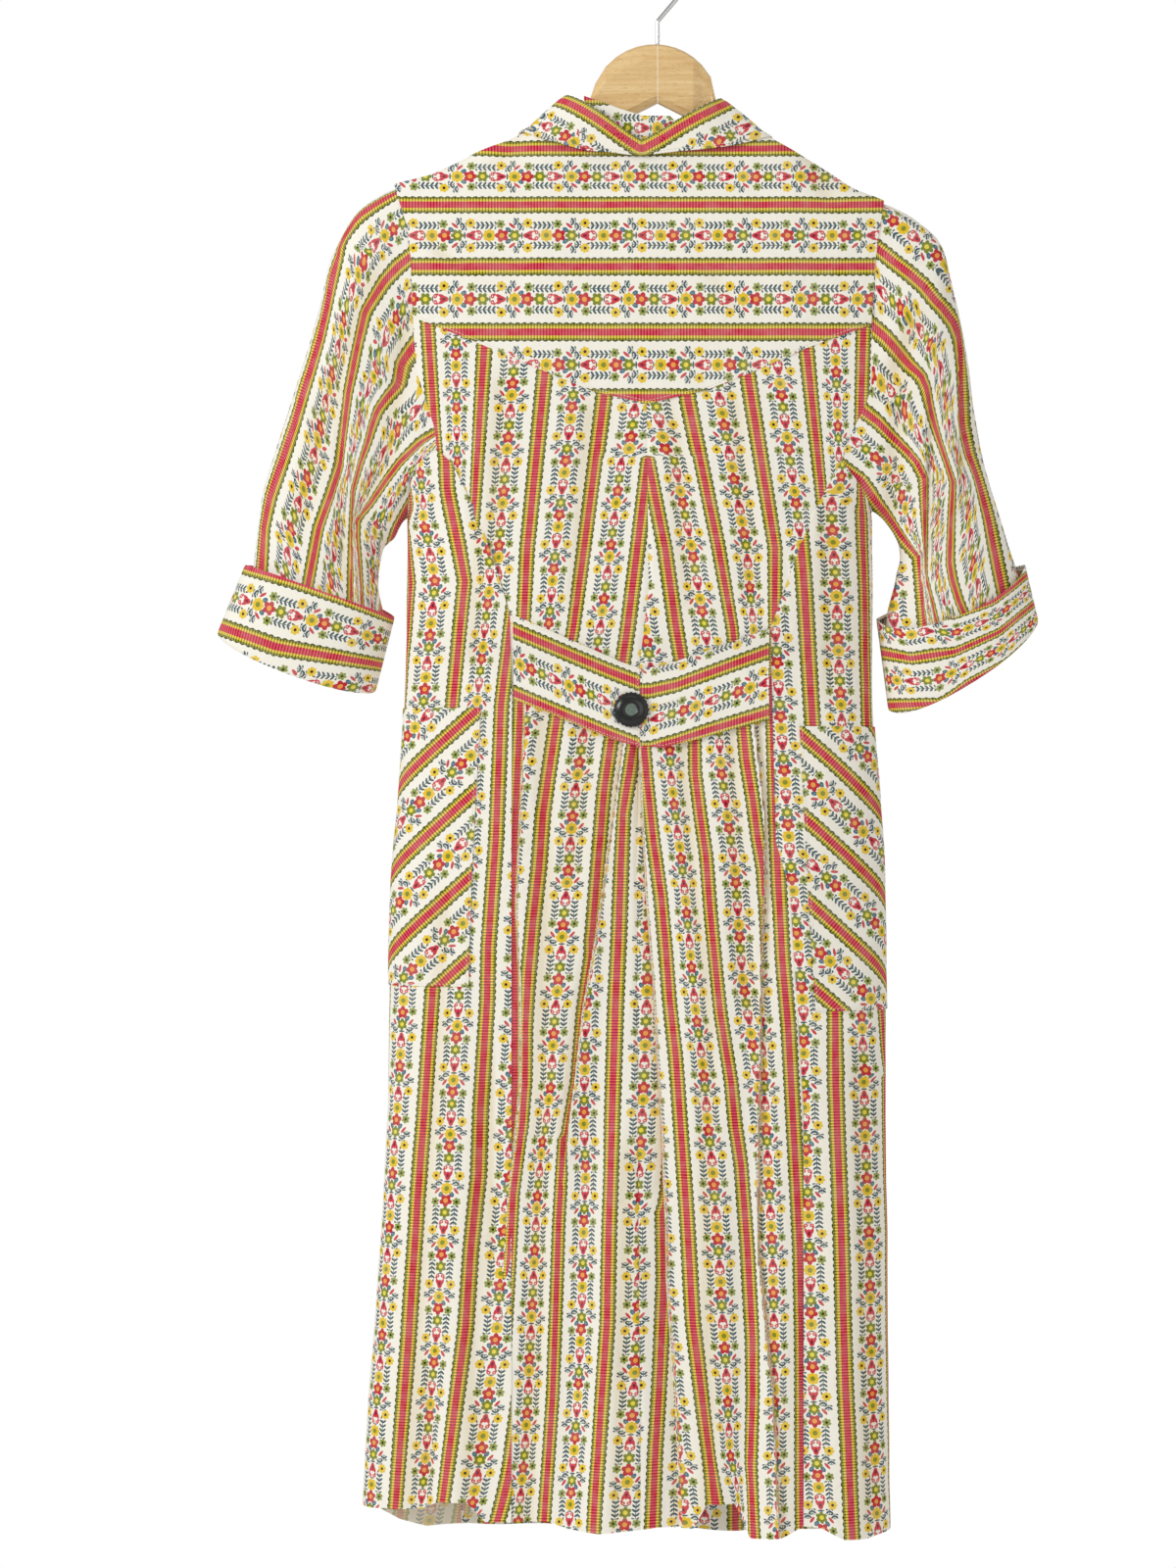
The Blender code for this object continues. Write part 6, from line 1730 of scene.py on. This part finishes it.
# Button: parts of its radius and of its thickness from the back to the middle of the front
# Columns: radius, height, scalloped
BUTTON_SHAPE = (
    (0.0, 0.0, 0.0), (0.86, 0.0, 0.5), (0.97, 0.1, 1.0), (1.0, 0.3, 1.0), (1.0, 0.45, 1.0), (0.96, 0.6, 1.0),
    (0.9, 0.66, 0.7), (0.85, 0.62, 0.2), (0.81, 0.62, 0.0), (0.76, 0.74, 0.0), (0.64, 0.9, 0.0),
    (0.5, 0.99, 0.0),
    (0.42, 1.0, 0.0), (0.37, 0.96, 0.0), (0.34, 0.84, 0.0), (0.31, 0.8, 0.0), (0.12, 0.8, 0.0),
    (0.09, 0.86, 0.0),
    (0.0, 0.88, 0.0),
)
BUTTON_LOBES = 24
BUTTON_EYE_START = 14


def button():
    """The scalloped button: a domed rim round a small flat eye, one closed body."""
    low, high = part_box("belt_button")
    middle_x, middle_z = (low[0] + high[0]) / 2, (low[2] + high[2]) / 2
    radius = (high[0] - low[0]) / 2
    around = 144
    turn = np.arange(around) * 2.0 * math.pi / around
    lobe = 1.0 - 0.055 * (0.5 - 0.5 * np.cos(BUTTON_LOBES * turn))
    points, faces, eye = [], [], []
    for part, height, wavy in BUTTON_SHAPE:
        y = high[1] + (low[1] - high[1]) * height
        reach = radius * part * (1.0 + (lobe - 1.0) * wavy)
        if part == 0.0:
            points.append((middle_x, y, middle_z))
        else:
            points.extend(zip(middle_x + reach * np.cos(turn), np.full(around, y),
                              middle_z + reach * np.sin(turn)))
    rings = len(BUTTON_SHAPE) - 2
    for index in range(around):
        after = (index + 1) % around
        faces.append((0, 1 + after, 1 + index))
        eye.append(0)
        for ring in range(rings - 1):
            a = 1 + ring * around
            faces.append((a + index, a + after, a + around + after, a + around + index))
            eye.append(1 if ring + 1 >= BUTTON_EYE_START else 0)
        a = 1 + (rings - 1) * around
        faces.append((a + index, a + after, len(points) - 1))
        eye.append(1)
    mesh = bpy.data.meshes.new("belt_button_moulded")
    mesh.from_pydata([tuple(map(float, point)) for point in points], [], faces)
    work = bmesh.new()
    work.from_mesh(mesh)
    bmesh.ops.recalc_face_normals(work, faces=work.faces)
    work.to_mesh(mesh)
    work.free()
    # black casein, turned and polished: a hard, clear gloss with the faintest haze of wear
    black, tree = new_material("polished black casein")
    where = add(tree, "TexCoord").outputs["Object"]
    haze = add(tree, "TexNoise", Vector=where, Scale=420.0, Detail=4.0)
    rough = calc(tree, "MULTIPLY_ADD", haze.outputs[0], 0.22, 0.14)
    shader = add(tree, "BsdfPrincipled", Base_Color=linear("#15161A"), Roughness=rough, IOR=1.53)
    add(tree, "OutputMaterial", Surface=shader.outputs[0])
    # the eye is a little shell set in the black: grey green, cloudy
    pearl, tree = new_material("grey green shell inlay")
    where = add(tree, "TexCoord").outputs["Object"]
    cloud = add(tree, "TexNoise", Vector=where, Scale=350.0, Detail=3.0)
    colour = paint(tree, linear("#46564F"), add(tree, "Clamp", _0=cloud.outputs[0]).outputs[0], "#7D9187")
    shader = add(tree, "BsdfPrincipled", Base_Color=colour, Roughness=0.3, IOR=1.53)
    add(tree, "OutputMaterial", Surface=shader.outputs[0])
    mesh.materials.append(black)
    mesh.materials.append(pearl)
    mesh.polygons.foreach_set("material_index", np.array(eye, dtype=np.int32))
    mesh.shade_smooth()
    mesh.set_sharp_from_angle(angle=math.radians(50.0))
    item = placed("belt_button_moulded", mesh)
    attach(item, "root")
    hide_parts("belt_button")


def beech():
    """Sanded beech under clear lacquer: pale, with fine grain along the arm and short darker flecks."""
    made, tree = new_material("lacquered beech")
    where = add(tree, "TexCoord").outputs["Object"]
    long = add(tree, "Mapping", Vector=where, Scale=(7.0, 190.0, 190.0))
    grain = add(tree, "TexNoise", Vector=long.outputs[0], Scale=1.6, Detail=5.0, Roughness=0.6, Distortion=0.4)
    # flecks: beech rays, about 2 mm long and 0.3 mm high, drawn at 0.5 mm so that they show
    short = add(tree, "Mapping", Vector=where, Scale=(260.0, 900.0, 1100.0))
    fleck = add(tree, "TexNoise", Vector=short.outputs[0], Scale=1.0, Detail=1.0)
    marks = calc(tree, "GREATER_THAN", fleck.outputs[0], 0.64)
    share = add(tree, "Clamp", _0=calc(tree, "MULTIPLY_ADD", grain.outputs[0], 2.4, -0.75)).outputs[0]
    colour = paint(tree, linear("#F3D6A0"), share, "#DDB273")
    colour = paint(tree, colour, calc(tree, "MULTIPLY", marks, 0.3), "#B98A4E")
    bump = add(tree, "Bump", Strength=0.08, Distance=0.0003, Height=grain.outputs[0])
    shader = add(tree, "BsdfPrincipled", Base_Color=colour, Roughness=0.42, Normal=bump.outputs[0])
    add(tree, "OutputMaterial", Surface=shader.outputs[0])
    return made


def steel_wire():
    """Drawn steel wire, bright zinc plated: a soft metal shine, fine draw lines along it."""
    made, tree = new_material("zinc plated steel wire")
    where = add(tree, "TexCoord").outputs["Object"]
    lines = add(tree, "TexNoise", Vector=where, Scale=900.0, Detail=2.0)
    rough = calc(tree, "MULTIPLY_ADD", lines.outputs[0], 0.2, 0.2)
    shader = add(tree, "BsdfPrincipled", Base_Color=linear("#C3C6C8"), Metallic=1.0, Roughness=rough)
    add(tree, "OutputMaterial", Surface=shader.outputs[0])
    return made


def hanger():
    """The hanger keeps its solids; only their finish changes."""
    wood, wire = beech(), steel_wire()
    for node, finish in (("hanger_arm_left", wood), ("hanger_arm_right", wood), ("hanger_hook", wire)):
        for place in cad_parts[node].material_slots:
            place.material = finish


# Floor under the hem, its reach round the dress, and the lights: name, place, size in metres, watts
FLOOR_Z = -1.75
FLOOR_REACH = 1.9
# Columns: name, place, size, watts
LIGHTS = (
    ("large soft box", (-2.7, -1.9, 0.5), 1.1, 47.0), ("second soft box", (1.6, -3.2, -0.2), 2.4, 20.0),
    ("top light", (0.0, -0.6, 1.9), 2.0, 7.0), ("soft box on the far side", (1.4, 3.2, 0.4), 2.4, 34.0),
)
AMBIENT = 0.46
# The place that the lights shine on, and the film's width in millimetres
LIT = (0.0, 0.0, -0.65)
FILM = 36.0


def stage_and_light():
    """A pale round floor, soft light, a white surround and a camera at the photograph's place."""
    ring = [(FLOOR_REACH * math.cos(turn), FLOOR_REACH * math.sin(turn), FLOOR_Z)
            for turn in np.linspace(0.0, 2.0 * math.pi, 96, endpoint=False)]
    mesh = bpy.data.meshes.new("floor")
    mesh.from_pydata(ring, [], [tuple(range(len(ring)))])
    mesh.materials.append(plain_material("matt white paper", "#F7F6F2", 0.95))
    placed("floor", mesh)
    for name, place, size, power in LIGHTS:
        light = bpy.data.lights.new(name, "AREA")
        light.shape = "SQUARE"
        light.size = size
        light.energy = power
        lamp = placed(name, light)
        lamp.location = place
        lamp.rotation_euler = (Vector(LIT) - Vector(place)).to_track_quat("-Z", "Y").to_euler()
    # the surround lights the dress softly and is white to the eye, as the photograph's is
    world = bpy.data.worlds.new("pale studio")
    world.use_nodes = True
    tree = world.node_tree
    tree.nodes.clear()
    soft = add(tree, "Background", Color=linear("#FFF9EE"), Strength=AMBIENT)
    white = add(tree, "Background", Color=linear("#FFFFFF"), Strength=1.0)
    seen = add(tree, "LightPath").outputs["Is Camera Ray"]
    both = add(tree, "MixShader", _0=seen, _1=soft.outputs[0], _2=white.outputs[0])
    add(tree, "OutputWorld", Surface=both.outputs[0])
    bpy.context.scene.world = world
    bpy.context.scene.view_settings.view_transform = "Standard"
    camera = bpy.data.cameras.new("camera")
    camera.sensor_width = FILM
    camera.lens = FILM * EYE_BACK / (PHOTO_ROWS * PHOTO_SCALE)
    camera.shift_x = (PHOTO_COLUMNS / 2 - PHOTO_X) / PHOTO_ROWS
    camera.shift_y = ((EYE_DROP - PHOTO_TOP) / PHOTO_SCALE - PHOTO_ROWS / 2) / PHOTO_ROWS
    eye = placed("camera", camera)
    eye.location = (0.0, -EYE_BACK * MM, -EYE_DROP * MM)
    eye.rotation_euler = (math.radians(90.0), 0.0, 0.0)
    bpy.context.scene.camera = eye


dress()
sew_all()
button()
hanger()
stage_and_light()
